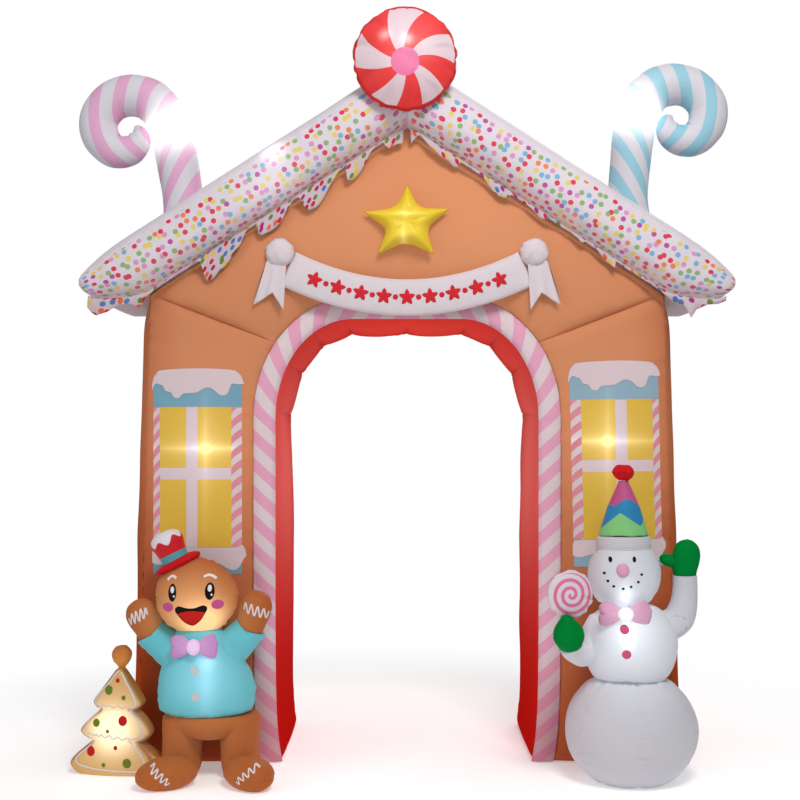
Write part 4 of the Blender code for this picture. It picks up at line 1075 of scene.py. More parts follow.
# Darker copies of the roof's dot colours: painted shade.
SHADED_DOTS = (
    (0.56, 0.01, 0.025), (0.07, 0.16, 0.4), (0.68, 0.45, 0.05), (0.13, 0.2, 0.03), (0.36, 0.015, 0.15),
    (0.72, 0.12, 0.03), (0.07, 0.16, 0.4), (0.13, 0.2, 0.03), (0.56, 0.01, 0.025),
)


def is_inside(lookup, point):
    """Whether a point is inside a closed skin: a line from it crosses the skin an odd number of times."""
    way = Vector((0.31, 0.23, 0.92)).normalized()
    start, crossings = point, 0
    while crossings < 40:
        met = lookup.ray_cast(start, way)[0]
        if met is None:
            break
        crossings += 1
        start = met + way * 1e-5
    return crossings % 2 == 1


def press(piece, *neighbours):
    """Flattens a piece against its neighbours: no point of it stays inside one of them."""
    for neighbour in neighbours:
        lookup = front_of(neighbour)
        for vertex in piece.data.vertices:
            met, normal, _, away = lookup.find_nearest(vertex.co)
            if (vertex.co - met).dot(normal) >= GAP:
                continue
            if is_inside(lookup, vertex.co):
                vertex.co = met + normal * GAP
            elif 1e-7 < away < GAP:
                vertex.co = met + (vertex.co - met) * (GAP / away)


def hold_off(piece, neighbour, gap=0.001):
    """Moves the points of a hanging sheet away until it clears the piece behind it."""
    lookup = front_of(neighbour)
    for vertex in piece.data.vertices:
        met, normal = lookup.find_nearest(vertex.co)[:2]
        if (vertex.co - met).dot(normal) < gap:
            vertex.co = met + normal * gap


def backed(strip):
    """A section through a single cloth: a strip of points and the same behind it."""
    return strip + [point + Vector((0, CLOTH, 0)) for point in reversed(strip)]


for side, word in ((-1, "left"), (1, "right")):
    rings, laid = [], []
    for down, drop in pieced_rows(DRIPS[word], 0.005):
        y = DRAPE_Y - EAVE_LIP_REACH * clamp((down - EAVE_LIP_START) / EAVE_LIP_BLEND)
        underside = read_at(ROOF_STATIONS, down)[0]
        top = roof_point(side, down, underside + DRAPE_TUCK, y)
        sway = 0.004 * math.sin(37 * down) + 0.003 * math.sin(61 * down + 1)
        low = roof_point(side, down, underside, y)
        low += Vector((side * 0.1 * drop, sway - 0.004 - 0.05 * drop, -drop))
        strip = []
        for share in even_steps(0, 1, 8):
            hang = top.lerp(low, share)
            hang.y += 0.0035 * math.sin(80 * down + 2.4 * share) * share
            hang.y -= 0.004 * math.sin(math.pi * share)
            strip.append(hang)
        rings.append(backed(strip))
        row = [(side * down + 2.0, 3.0 + drop * share) for share in even_steps(0, 1, 8)]
        laid.append(row + row[::-1])
    drape = loft(f"icing_{word}_drips", rings, laid=laid)
    drips = Cloth(f"icing_drips_{word}_cloth")
    # The ground is a darker copy of the roof's icing: painted shade.
    drips_cloth = drips.finish(confetti(drips, SHADED_DOTS, (0.54, 0.44, 0.48), DOT_PITCH * 0.97), roughness=0.55)
    belong(drape, drips_cloth, f"icing_drape_{word}")
    deepest = max(drop for _, drop in DRIPS[word]) + DRAPE_TUCK
    cut = sum((b[0] - a[0]) * (a[1] + b[1]) / 2 for a, b in zip(DRIPS[word], DRIPS[word][1:]))
    cut + DRAPE_LENGTH * DRAPE_TUCK


# ---- The candy canes ----------------------------------------------------------------------------------
# Each is a front and a back panel, printed with broad stripes and sewn together along the outer and the
# inner curve, then blown up to a round tube that curls outwards. A lamp in the bend makes it white-hot.

CANE = thousandths(
    (15, -140, 82), (0, 0, 84), (21, 170, 87), (44, 300, 90), (80, 400, 90), (146, 462, 89), (226, 474, 86),
    (298, 445, 83), (345, 375, 81), (338, 300, 79), (290, 244, 73), (230, 240, 66), (188, 270, 56), (178, 312, 42),
    (190, 346, 14),
)
CANE_Y = FRONT_Y + 0.3
CANE_PITCH = 0.0966
CANE_STEPS = 20
CANE_CUT = 10
CANE_SIDES = 52
TOP_ROW = 5.5
STRIPE_LEVEL = 0.393
STRIPE_LEANS = ((-0.2, 0.54), (0.06, 0.52), (0.15, 0.28), (0.25, 0.2), (0.36, 0.06), (0.6, 0.03))


def tube_rings(stations, sides, across=(0, 1, 0), flat=1.0):
    """Rings round a path of (x, y, z, radius), and each point's angle: 0 and pi lie in the path's plane."""
    centres = [Vector(row[:3]) for row in stations]
    rings = []
    for i, (centre, row) in enumerate(zip(centres, stations)):
        along = (centres[min(i + 1, len(centres) - 1)] - centres[max(i - 1, 0)]).normalized()
        side = along.cross(Vector(across)).normalized()
        other = side.cross(along)
        ring = []
        for a in circle(sides):
            seam = min(abs(math.sin(a / 2)), abs(math.cos(a / 2))) * row[3] * 1.6
            dip = puckers(centre * 0.8, seam, 51.0 + round(math.cos(a / 2)), 0.004, 0.02)
            ring.append(centre + (row[3] - dip) * (math.cos(a) * side + flat * math.sin(a) * other))
        rings.append(ring)
    return rings


def stripe_number(out, up, past_top):
    """How far across the printed stripes that place of a cane lies, seen from the front."""
    if past_top and up < STRIPE_LEVEL:
        return out + (1.2 + max(0.36 - out, 0.0) * 9.5) * (STRIPE_LEVEL - up) ** 2
    return out + read_at(STRIPE_LEANS, out)[0] * (up - STRIPE_LEVEL)


for side, word, foot, lean, spread, first, slot, colour, lamp in (
    (-1, "left", (-0.946, CANE_Y, 2.27), 0.0, 1.03, 0.3617, "pink_stripe_cloth", (0.72, 0.38, 0.57), (0.058, 0.32)),
    (1, "right", (0.936, CANE_Y, 2.303), -0.064, 1.04, 0.362, "blue_stripe_cloth", (0.3, 0.56, 0.67), (0.05, 0.35)),
):
    foot, turn = Vector(foot), Matrix.Rotation(side * lean, 3, "Y")
    path = [
        (*(foot + turn @ Vector((side * out * spread, 0, up))), max(radius, 0.004))
        for out, up, radius in smooth_rows(CANE, CANE_STEPS)[CANE_CUT:]
    ]
    rings = tube_rings(path, CANE_SIDES)
    numbers = []
    for index, ring in enumerate(rings):
        past_top = index > CANE_STEPS * TOP_ROW - CANE_CUT
        places = [turn.inverted() @ (point - foot) for point in ring]
        numbers.append([(stripe_number(side * p.x, p.z, past_top) - first) / CANE_PITCH for p in places])
    heart = foot + turn @ Vector((side * lamp[0], 0, lamp[1]))
    centres = [Vector(row[:3]) for row in path]
    runs = arc_lengths(centres)
    nearest = min(range(len(path)), key=lambda k: (centres[k] - heart).length)
    from_lamp = [[run - runs[nearest]] * CANE_SIDES for run in runs]
    cane = loft(f"cane_{word}", rings, kept={"stripe": numbers, "from_lamp": from_lamp})
    press(cane, roofs[word])
    candy = Cloth(f"cane_{word}_cloth")
    stripe = (candy.kept("stripe") + 20.25).of("FRACT") < 0.48
    hot = ((candy.kept("from_lamp") / 0.09) ** 2 * -1.0).of("EXPONENT") * candy.lamp(tuple(heart), 0.24) * 1.4
    candy_cloth = candy.finish(stripe.mixed((0.66, 0.63, 0.68), colour), hot.lit((1.0, 1.0, 1.0)))
    settle(cane, candy_cloth, f"candy_cane_{word}")


# ---- The peppermint on the apex -----------------------------------------------------------------------
# A front and a back disc of printed cloth, sewn together at the rim and blown up, so the rim gathers in
# folds. Ten curved sectors are printed round a pink middle, and the rim is bound in red.

MINT_CENTRE = (-0.008, FRONT_Y - 0.16, 2.765)
MINT_RADIUS = 0.204
MINT_HEART = 0.0545
SECTOR_TURN = -36.4
SECTOR_TWIST = 28.0


def blown_up(
    name, edge_at, centre, half, around=180, rows=20, pressure=6.0, frames=24, turn=0.0, angles=None, calm=0
):
    """Two panels of one outline, sewn at their edge and blown up until they are twice half thick.

    edge_at gives the distance of the edge from the middle for an angle from straight up; calm is how often
    the blown cloth is evened out.
    """
    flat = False
    angles = angles or even_steps(0, 2 * math.pi, around)[:-1]
    rings, kept = [], []
    for side, shares in ((-1, even_steps(0, 1, rows)), (1, even_steps(1, 0, rows)[1:])):
        for share in shares:
            ring = []
            for angle in angles:
                reach = edge_at(angle) * share
                swell = max(1 - share ** 2, 0.0) ** 0.5
                slack = 0.0012 * ripple((reach * math.sin(angle), side, reach * math.cos(angle)), 34.0, 3.0)
                depth = side * half * swell if flat else (side * 0.2 * half + slack) * swell
                ring.append(Vector((math.sin(angle) * reach, depth, math.cos(angle) * reach)))
            rings.append(ring)
            kept.append([share] * len(angles))
    piece = loft(name, rings, kept={"share": kept})
    cut = [max(abs(vertex.co[axis]) for vertex in piece.data.vertices) for axis in (0, 2)]
    if not flat:
        air = piece.modifiers.new("Air", "CLOTH")
        for word, value in (
            ("quality", 5), ("mass", 0.15), ("tension_stiffness", 60), ("compression_stiffness", 60),
            ("shear_stiffness", 30), ("bending_stiffness", 0.01), ("air_damping", 2), ("use_pressure", True),
            ("uniform_pressure_force", pressure),
        ):
            setattr(air.settings, word, value)
        air.settings.effector_weights.gravity = 0
        air.point_cache.frame_end = frames
        for step in range(1, frames + 1):
            scene.frame_set(step)
        blown = applied(piece)
        scene.frame_set(1)
        shape = opened(blown)
        shares = shape.verts.layers.float.get("share")
        inner = [vertex for vertex in shape.verts if vertex[shares] < 0.96]
        for _ in range(calm):
            bmesh.ops.smooth_vert(shape, verts=inner, factor=0.5, use_axis_x=True, use_axis_y=True, use_axis_z=True)
        closed(shape, blown)
    reached = [max(abs(vertex.co[axis]) for vertex in piece.data.vertices) for axis in range(3)]
    scales = (cut[0] / reached[0], half / reached[1], cut[1] / reached[2], 1.0)
    piece.data.transform(Matrix.Translation(centre) @ Matrix.Rotation(turn, 4, "Z") @ Matrix.Diagonal(scales))
    piece.data.shade_smooth()
    return piece


def wavy(radius, depth, scale, seed, shift=0):
    """The edge of a disc that was cut by hand: its distance from the middle for an angle."""
    return lambda angle: radius + depth * ripple((math.sin(angle), math.cos(angle), shift), scale, seed)


mint = blown_up(
    "mint", wavy(MINT_RADIUS - 0.001, 0.002, 9.0, 8.0), MINT_CENTRE, 0.078, around=240, rows=26, pressure=7.0, calm=6,
)
press(mint, *roofs.values())
candy = Cloth("peppermint_cloth")
x = candy.place.part("X") - MINT_CENTRE[0]
z = candy.place.part("Z") - MINT_CENTRE[2] + 0.03
away = (x * x + z * z) ** 0.5
angle = x.of("ARCTAN2", z) * (180 / math.pi)
turned = (angle - (SECTOR_TURN + 36 * 10.5) + (1 - away / MINT_RADIUS) * SECTOR_TWIST) / 72.0
sectors = ((turned + 20.0).of("FRACT") < 0.5).mixed((0.76, 0.035, 0.035), (0.7, 0.54, 0.58))
binding = (1.0 - candy.kept("share") < 0.06).mixed(sectors, (0.66, 0.018, 0.02))
sweet = (away < MINT_HEART).mixed(binding, (0.74, 0.155, 0.32))
# Painted light: two small painted glints above the middle, and a soft painted glow that lightens the middle.
glow = candy.lamps(
    ((-0.085, MINT_CENTRE[1] - 0.07, 2.842), 0.022, 0.55), ((0.0, MINT_CENTRE[1] - 0.078, 2.822), 0.022, 0.8),
    ((0.01, MINT_CENTRE[1] - 0.07, 2.82), 0.13, 0.08),
)
mint_cloth = candy.finish(sweet, glow.lit((1.0, 0.8, 0.8)), roughness=0.42)
settle(mint, mint_cloth, "peppermint")


# ---- The star on the gable ----------------------------------------------------------------------------
# Two yellow five-pointed panels sewn at the edge and blown up, with a lamp inside that shows through as a
# level and an upright streak.

STAR = (
    (0, 0.154), (37, 0.086), (71, 0.179), (104, 0.089), (139, 0.164), (180, 0.086),
    (224, 0.169), (256, 0.089), (285, 0.179), (324, 0.086), (360, 0.154),
)
STAR_CENTRE = (0.0, FRONT_Y - 0.085, 2.14)


def way_at(angle):
    """The way in the star's plane for an angle from straight up."""
    return Vector((math.sin(angle), math.cos(angle)))


STAR_SIDES = [
    [way_at(math.radians(degrees)) * reach for degrees, reach in pair] for pair in zip(STAR, STAR[1:])
]


def star_radius(angle):
    """Distance from the star's middle to its edge: straight from tip to notch, with the notches rounded."""
    degrees = math.degrees(angle) % 360
    for (a, b), (end, _) in zip(STAR_SIDES, STAR[1:]):
        if degrees <= end:
            break
    way, edge = way_at(angle), b - a
    filled = sum(0.007 * math.exp(-((degrees - notch) / 8) ** 2) for notch, _ in STAR[1::2])
    return (a.x * edge.y - a.y * edge.x) / (way.x * edge.y - way.y * edge.x) + filled - 0.0015


star_angles = []
for a, b in STAR_SIDES:
    for share in even_steps(0, 1, 20)[:-1]:
        point = a.lerp(b, share)
        star_angles.append(math.atan2(point.x, point.y) % (2 * math.pi))
star = blown_up("gable_star", star_radius, STAR_CENTRE, 0.052, rows=18, pressure=5.0, angles=star_angles, calm=45)
press(star, shell)
yellow = Cloth("star_cloth")
x, z = yellow.place.part("X"), yellow.place.part("Z")
level = (z - 2.173).of("ABSOLUTE") * -160.0 - (x + 0.005).of("ABSOLUTE") * 34.0
upright = (x + 0.014).of("ABSOLUTE") * -80.0 - (z - 2.092).of("ABSOLUTE") * 26.0
streaks = level.of("EXPONENT") * 0.9 + upright.of("EXPONENT") * 0.5
lit = yellow.lamp((0.0, STAR_CENTRE[1] - 0.05, 2.115), 0.14) * 0.06 + streaks
settle(star, yellow.finish((0.78, 0.55, 0.014), lit.lit((1.0, 0.9, 0.4)), roughness=0.35), "star")


# ---- The scroll under the star ------------------------------------------------------------------------
# An off-white cushion hangs in a shallow curve between two round rosettes, each with a swallow-tailed end
# of ribbon under it. A row of small red stars and dots is printed along it.

BANNER_HALF = 0.47
BANNER_Z = 1.85
BANNER_SAG = 0.115
BANNER_HEIGHT = 0.145
BANNER_Y = FRONT_Y - 0.066
ROSETTE_X = 0.502
ROSETTE_Z = 2.027
ROSETTE_RADIUS = 0.058
TAIL_FOOT_Z = 1.812
TAIL_INNER, TAIL_OUTER = 0.488, 0.606
NOTCH_X, NOTCH_Z = 0.53, 1.868
LINEN = (0.68, 0.6, 0.63)
MOTIF_REACH = 0.365
MOTIF_COUNT = 17
MOTIF_RINGS = 4
MOTIF_AROUND = 40
BANNER_SECTION = (
    (1.0, 0.0), (0.985, 0.006), (0.93, 0.01), (0.82, 0.0125), (0.6, 0.0155), (0.3, 0.017), (0.0, 0.0175),
    (-0.3, 0.017), (-0.6, 0.0155), (-0.82, 0.0125), (-0.93, 0.01), (-0.985, 0.006), (-1.0, 0.0),
)

scroll_cloth = Cloth("scroll_cloth").finish(LINEN, roughness=0.55, crease=0.4)


def banner_line(x):
    """The middle height of the scroll at x, and the way up across it."""
    slope = 2 * BANNER_SAG * x / BANNER_HALF ** 2
    return BANNER_Z + BANNER_SAG * (x / BANNER_HALF) ** 2, Vector((-slope, 0, 1)).normalized()


rings = []
for x in even_steps(-BANNER_HALF, BANNER_HALF, 150):
    middle, up = banner_line(x)
    end = 1 - 0.7 * math.exp(-(BANNER_HALF - abs(x)) / 0.02)
    ring = []
    for share, rise in pieced_rows(BANNER_SECTION, 0.12):
        edge = (1 - abs(share)) * BANNER_HEIGHT / 2
        rise -= puckers(Vector((x, round(share))), edge, 61.0, 0.003, 0.018) * (rise / 0.0175)
        rise += 0.002 * ripple((x, share * 0.07, 1.0), 12.0) * (rise / 0.0175)
        ring.append(Vector((x, BANNER_Y - max(rise, 0.0) * end, middle)) + up * (share * BANNER_HEIGHT / 2))
    for share in (-0.97, -0.9, -0.45, 0.0, 0.45, 0.9, 0.97):
        depth = 0.029 * (1 - abs(share) ** 6)
        ring.append(Vector((x, BANNER_Y + depth, middle)) + up * (share * BANNER_HEIGHT / 2))
    rings.append(ring)
scroll = loft("scroll", rings)
press(scroll, shell, border)
settle(scroll, scroll_cloth, "banner")


def disc(x, z, wide, tall, lobes=None):
    """The shares-to-place rule of an oval, or of a star where lobes gives its points and their depth."""

    def place(u, v):
        a = 2 * math.pi * u
        reach = v
        if lobes:
            points, depth = lobes
            swing = abs(((u * points) % 1.0) - 0.5) * 2
            reach = v * (1 - depth * (1 - swing))
        return x + math.sin(a) * wide * reach, z + math.cos(a) * tall * reach

    return place


def printed_round(name, cloth_front, place_at, around, rows, lift, material, slot, puff=0.0):
    """A round layer of ink, or a small padded patch where puff is how far its middle stands out."""
    shape = bmesh.new()
    rims = []
    for layer in (0, 1):

        def inked(u, v):
            thick = (INK + puff * math.sqrt(max(1 - v ** 2, 0.0))) * layer
            return shape.verts.new(touch(cloth_front, *place_at(u, v)) - Vector((0, lift + thick, 0)))

        rings = [[inked(i / around, j / rows) for i in range(around)] for j in range(1, rows + 1)]
        middle = inked(0.0, 0.0)
        for i in range(around):
            j = (i + 1) % around
            shape.faces.new((middle, rings[0][i], rings[0][j]))
            for ring, following in zip(rings, rings[1:]):
                shape.faces.new((ring[i], ring[j], following[j], following[i]))
        rims.append(rings[-1])
    for i in range(around):
        j = (i + 1) % around
        shape.faces.new((rims[0][i], rims[0][j], rims[1][j], rims[1][i]))
    patch = ink_piece(name, shape, material)
    if puff:
        patch.data.shade_smooth()


def motif(name, points=0, depth=0.0):
    """A thin disc or star of unit size to stamp with; each point keeps which side of the ink it is on."""
    place = disc(0, 0, 1, 1, (points, depth) if points else None)
    rings, layers = [], []
    steps = even_steps(0, 1, MOTIF_RINGS)
    for layer, shares in ((0.0, steps), (1.0, steps[::-1])):
        for share in shares:
            flat = [place(k / MOTIF_AROUND, share) for k in range(MOTIF_AROUND)]
            rings.append([Vector((x, -0.01 * layer, z)) for x, z in flat])
            layers.append([layer] * MOTIF_AROUND)
    return loft(name, rings, kept={"layer": layers})


stamps, given, add = node_group("row_of_motifs", (
    ("Row", "Geometry"), ("Star", "Object"), ("Dot", "Object"), ("Cloth", "Object"), ("Star size", "Float"),
    ("Dot size", "Float"), ("Lift", "Float"), ("Ink", "Float"), ("Dye", "Material"),
))
turn = add("GeometryNodeInputNamedAttribute", {"data_type": "FLOAT"}, {"Name": "lean"})
turn = add("ShaderNodeCombineXYZ", {}, {"Y": turn})
odd = add("ShaderNodeMath", {"operation": "MODULO"}, {0: add("GeometryNodeInputIndex", {}, {}), 1: 2.0})
even = add("ShaderNodeMath", {"operation": "SUBTRACT"}, {0: 1.0, 1: odd})
stamped = stamps.nodes.new("GeometryNodeJoinGeometry")
for chosen, shape, size in ((even, "Star", "Star size"), (odd, "Dot", "Dot size")):
    one = add("GeometryNodeObjectInfo", {}, {"Object": given[shape]}, 4)
    several = add("GeometryNodeInstanceOnPoints", {}, {
        "Points": given["Row"], "Selection": chosen, "Instance": one, "Rotation": turn, "Scale": given[size],
    })
    stamps.links.new(several, stamped.inputs[0])
flat = add("GeometryNodeRealizeInstances", {}, {"Geometry": stamped.outputs[0]})
ahead = add("ShaderNodeVectorMath", {"operation": "MULTIPLY_ADD"}, {
    0: add("GeometryNodeInputPosition", {}, {}), 1: (1.0, 0.0, 1.0), 2: (0.0, -2.0, 0.0),
})
cloth = add("GeometryNodeObjectInfo", {}, {"Object": given["Cloth"]}, 4)
met = add("GeometryNodeRaycast", {}, {
    "Target Geometry": cloth, "Source Position": ahead, "Ray Direction": (0.0, 1.0, 0.0), "Ray Length": 4.0,
}, 1)
side = add("GeometryNodeInputNamedAttribute", {"data_type": "FLOAT"}, {"Name": "layer"})
raised = add("ShaderNodeMath", {"operation": "MULTIPLY_ADD"}, {0: side, 1: given["Ink"], 2: given["Lift"]})
raised = add("ShaderNodeVectorMath", {"operation": "SCALE"}, {0: (0.0, -1.0, 0.0), "Scale": raised})
place = add("ShaderNodeVectorMath", {"operation": "ADD"}, {0: met, 1: raised})
printed_on = add("GeometryNodeSetPosition", {}, {"Geometry": flat, "Position": place})
printed_on = add("GeometryNodeSetMaterial", {}, {"Geometry": printed_on, "Material": given["Dye"]})
stamps.links.new(printed_on, stamps.nodes.new("NodeGroupOutput").inputs[0])

cherry = ink("scroll_red_ink", (0.62, 0.02, 0.03))
scroll_front = front_of(scroll)
row = bpy.data.meshes.new("scroll_motifs")
places = [(x, *banner_line(x)) for x in even_steps(-MOTIF_REACH, MOTIF_REACH, MOTIF_COUNT - 1)]
row.from_pydata([(x, 0, middle) for x, middle, up in places], [], [])
leans = row.attributes.new("lean", "FLOAT", "POINT")
leans.data.foreach_set("value", [math.atan2(up.x, up.z) for x, middle, up in places])
tools = [motif("motif_star", 5, 0.52), motif("motif_dot")]
grown("scroll_motifs", row, stamps, {
    "Star": tools[0], "Dot": tools[1], "Cloth": scroll, "Star size": 0.033, "Dot size": 0.0105,
    "Lift": 0.0008, "Ink": INK, "Dye": cherry,
})
for tool in tools:
    bpy.data.objects.remove(tool, do_unlink=True)
for word, share in (("top", 0.44), ("foot", -0.44)):
    path = []
    for x in even_steps(-BANNER_HALF + 0.02, BANNER_HALF - 0.02, 90):
        middle, up = banner_line(x)
        path.append((x + up.x * share * BANNER_HEIGHT, middle + up.z * share * BANNER_HEIGHT))
    stitched(f"scroll_{word}_stitches", scroll_front, path)


def tail_foot(x):
    """The height of a ribbon end's lower edge, which is cut in a swallow tail."""
    if x < NOTCH_X:
        tip = TAIL_FOOT_Z - 0.012
        return tip + (NOTCH_Z - tip) * (x - TAIL_INNER) / (NOTCH_X - TAIL_INNER)
    tip = TAIL_FOOT_Z + 0.008
    return NOTCH_Z + (tip - NOTCH_Z) * (x - NOTCH_X) / (TAIL_OUTER - NOTCH_X)


for side, word in ((-1, "left"), (1, "right")):
    rosette = blown_up(
        f"rosette_{word}_cushion", wavy(ROSETTE_RADIUS - 0.001, 0.0025, 4.0, 1.0, side),
        (side * ROSETTE_X, BANNER_Y - 0.006, ROSETTE_Z), 0.034, around=90, rows=9, pressure=5.0, frames=16,
    )
    press(rosette, shell, scroll)
    settle(rosette, scroll_cloth, f"rosette_{word}")
    top = ROSETTE_Z - 0.03
    rings = []
    for share in even_steps(0, 1, 36):
        x_low, x_top = TAIL_INNER + (TAIL_OUTER - TAIL_INNER) * share, ROSETTE_X - 0.028 + 0.075 * share
        fold = 0.008 * math.cos(2.6 * math.pi * share) + 0.002 * math.sin(7 * math.pi * share)
        strip = []
        for step in even_steps(0, 1, 18):
            x, z = x_top + (x_low - x_top) * step ** 0.8, top + (tail_foot(x_low) - top) * step
            strip.append(Vector((side * x, BANNER_Y - 0.014 + fold * step + 0.004 * step, z)))
        rings.append(backed(strip))
    tail = loft(f"ribbon_{word}_tail", rings)
    hold_off(tail, shell)
    belong(tail, scroll_cloth, f"ribbon_tail_{word}")


# ---- The biscuit figure -------------------------------------------------------------------------------
# A waving figure leans on the front of the left leg. It is sewn from chambers: head, shirt, hips, legs and
# feet, sleeves and hands. The face, the buttons and the icing on its hands and feet are printed. One lamp
# hangs at the chin and one in the shirt.

GINGER_Y = FRONT_Y - 0.19
SHIRT_X = -0.773
HIPS_X = -0.757
HEAD_CENTRE = Vector((-0.811, GINGER_Y - 0.005, 0.686))
HEAD_RADII = (0.159, 0.128, 0.148)
BISCUIT = (0.42, 0.108, 0.024)
AQUA = (0.14, 0.54, 0.61)


def gather(piece, *seams):
    """Draws the cloth in along seams, each given as (distance of a point, place along, depth, reach, seed)."""
    dips = []
    for vertex in piece.data.vertices:
        dip = -0.003 * ripple(vertex.co, 9.0, 2.0)
        for distance, along, depth, reach, seed in seams:
            dip += seam_dip(along(vertex.co), distance(vertex.co), seed, depth, reach)
        dips.append(vertex.normal.copy() * dip)
    for vertex, dip in zip(piece.data.vertices, dips):
        vertex.co -= dip


def seam_dip(along, distance, seed, depth, reach):
    """The dip beside a seam that runs anyhow through space."""
    if distance > 6 * reach:
        return 0.0
    fold = ripple(along, 42, seed) + 0.5 * ripple(along, 95, seed)
    return depth * math.exp(-distance / reach) * (0.35 + 1.6 * fold) + 0.003 * math.exp(-distance / 0.004)


def upright_seam(y, depth=0.004, reach=0.022, seed=1.0):
    """The side seam between a front and a back panel, in the upright plane at y."""
    return (lambda p: abs(p.y - y), lambda p: Vector((p.x, 0, p.z)), depth, reach, seed)


def level_seam(z, depth=0.004, reach=0.022, seed=2.0):
    """A seam round a piece at height z."""
    return (lambda p: abs(p.z - z), lambda p: Vector((p.x, p.y, 0)), depth, reach, seed)


def ball(name, centre, radii, yaw=0.0, tilt=0.0, floor=-1.0, around=72, rows=40):
    """A blown-up ball with three radii; floor presses it flat at that height."""
    place = Matrix.Translation(centre) @ Matrix.Rotation(yaw, 4, "Z") @ Matrix.Rotation(tilt, 4, "Y")
    rings = []
    for a in even_steps(0, math.pi, rows):
        ring = []
        for b in circle(around):
            local = Vector((math.sin(a) * math.cos(b), math.sin(a) * math.sin(b), math.cos(a)))
            point = place @ Vector([c * r for c, r in zip(local, radii)])
            point.z = max(point.z, floor)
            ring.append(point)
        rings.append(ring)
    return loft(name, rings)


def to_floor(piece):
    """Presses a piece flat where it stands on the floor."""
    for vertex in piece.data.vertices:
        vertex.co.z = max(vertex.co.z, 0.0)


def stacked(name, sections, x, y):
    """A blown-up form through level oval sections of (height, half width, half depth, shift)."""
    return loft(name, [
        [Vector((x + shift + wide * math.cos(a), y + deep * math.sin(a), height)) for a in circle(STACK_SIDES)]
        for height, wide, deep, shift in sections
    ])


def capped(rows, per_span=6):
    """A profile whose inner rows lie on a smooth curve and whose first and last row close it."""
    return [rows[0]] + smooth_rows(rows[1:-1], per_span) + [rows[-1]]


def turned_form(name, profile, place, around=80, depth=1.0, turn=0.0):
    """A profile of (radius, height) turned about its Z axis; each point keeps its height and its angle."""
    matrix = Matrix.Translation(place) @ Matrix.Rotation(turn, 4, "Y")
    rings = [
        [matrix @ Vector((radius * math.cos(a), depth * radius * math.sin(a), height)) for a in circle(around)]
        for radius, height in profile
    ]
    angles = [abs(180 - 360 * k / around) for k in range(around)]
    heights = [[height] * around for _, height in profile]
    return loft(name, rings, kept={"height": heights, "angle": [angles] * len(rings)})


skin_cloth = lit_cloth(
    "biscuit_skin_cloth", BISCUIT, (1.0, 0.68, 0.33), ((-0.765, HEAD_CENTRE.y - 0.115, 0.585), 0.08, 1.1),
    ((-0.81, HEAD_CENTRE.y - 0.11, 0.61), 0.16, 0.42), ((-0.76, GINGER_Y - 0.14, 0.17), 0.2, 0.07),
    gloss=0.08, sheen=0.0,
)
aqua = Cloth("shirt_cloth")
beam_x, beam_z = (aqua.place.part("X") + 0.752) / 0.035, (aqua.place.part("Z") - 0.4) / 0.13
belly = aqua.lamps(((-0.75, GINGER_Y - 0.15, 0.462), 0.035, 0.4), ((-0.76, GINGER_Y - 0.15, 0.4), 0.13, 0.2))
belly = belly + ((beam_x * beam_x + beam_z * beam_z) * -1.0).of("EXPONENT") * 0.22
shirt_cloth = aqua.finish(AQUA, belly.lit((0.55, 0.75, 1.0)), roughness=0.45, gloss=0.1)

STACK_SIDES = 128
SHIRT = thousandths(
    (240, 155, 118, 0), (252, 175, 136, 0), (285, 187, 150, 0), (340, 188, 156, 0), (400, 174, 150, -4),
    (460, 148, 132, -12), (520, 116, 108, -20), (560, 84, 80, -28), (580, 50, 50, -32),
)
HIPS = thousandths(
    (239.7, 170, 128, 0), (225, 177, 134, 0), (200, 166, 132, 0), (172, 128, 118, 0), (152, 80, 90, 0),
    (142, 35, 45, 0),
)
shirt = stacked("shirt", smooth_rows(SHIRT, 10), SHIRT_X, GINGER_Y)
gather(shirt, level_seam(0.246, 0.0015, 0.015), upright_seam(GINGER_Y))
press(shirt, shell)
hips = stacked("hips", smooth_rows(HIPS, 6), HIPS_X, GINGER_Y)
press(hips, shell, shirt)
head = ball("figure_head", HEAD_CENTRE, HEAD_RADII, around=150, rows=100)


def dart(start, end, front_y):
    """A short seam on the front, from start to end, both (x, z)."""
    a, b = Vector(start), Vector(end)

    def distance(p):
        if p.y > front_y:
            return 1.0
        q = Vector((p.x, p.z))
        return (q - a.lerp(b, clamp((q - a).dot(b - a) / (b - a).length_squared))).length

    return (distance, lambda p: Vector((p.x, 0, p.z)), 0.004, 0.01, 5.0)


gather(
    head, upright_seam(HEAD_CENTRE.y, 0.005, 0.02),
    dart((-0.97, 0.683), (-0.925, 0.672), HEAD_CENTRE.y), dart((-0.65, 0.705), (-0.7, 0.692), HEAD_CENTRE.y),
)
press(head, shirt)
settle(shirt, shirt_cloth, "ginger_shirt")
settle(hips, skin_cloth, "ginger_hips")
settle(head, skin_cloth, "ginger_head")

LEG = thousandths(
    (0, 239.7), (50, 239.7), (66, 234), (73.5, 218), (75.5, 170), (76, 100), (75.5, 50), (68, 15), (50, 0), (0, 0),
)
legs, feet = {}, {}
for word, x, foot_x, yaw in (("left", -0.866, -0.892, 34), ("right", -0.642, -0.588, -54)):
    leg = turned_form(f"leg_{word}", capped(LEG), (x, GINGER_Y, 0), depth=1.4)
    gather(leg, upright_seam(GINGER_Y, 0.003, 0.015), level_seam(0.075, 0.0035, 0.02, 7.0))
    press(leg, hips, shell)
    foot = ball(f"foot_{word}", (foot_x, FRONT_Y - 0.38, 0.05), (0.122, 0.084, 0.062), math.radians(yaw),
                floor=0.0)
    gather(foot, level_seam(0.045, 0.003, 0.015, 9.0))
    press(foot, leg)
    to_floor(foot)
    settle(leg, skin_cloth, f"ginger_leg_{word}")
    settle(foot, skin_cloth, f"ginger_foot_{word}")
    legs[word], feet[word] = leg, foot

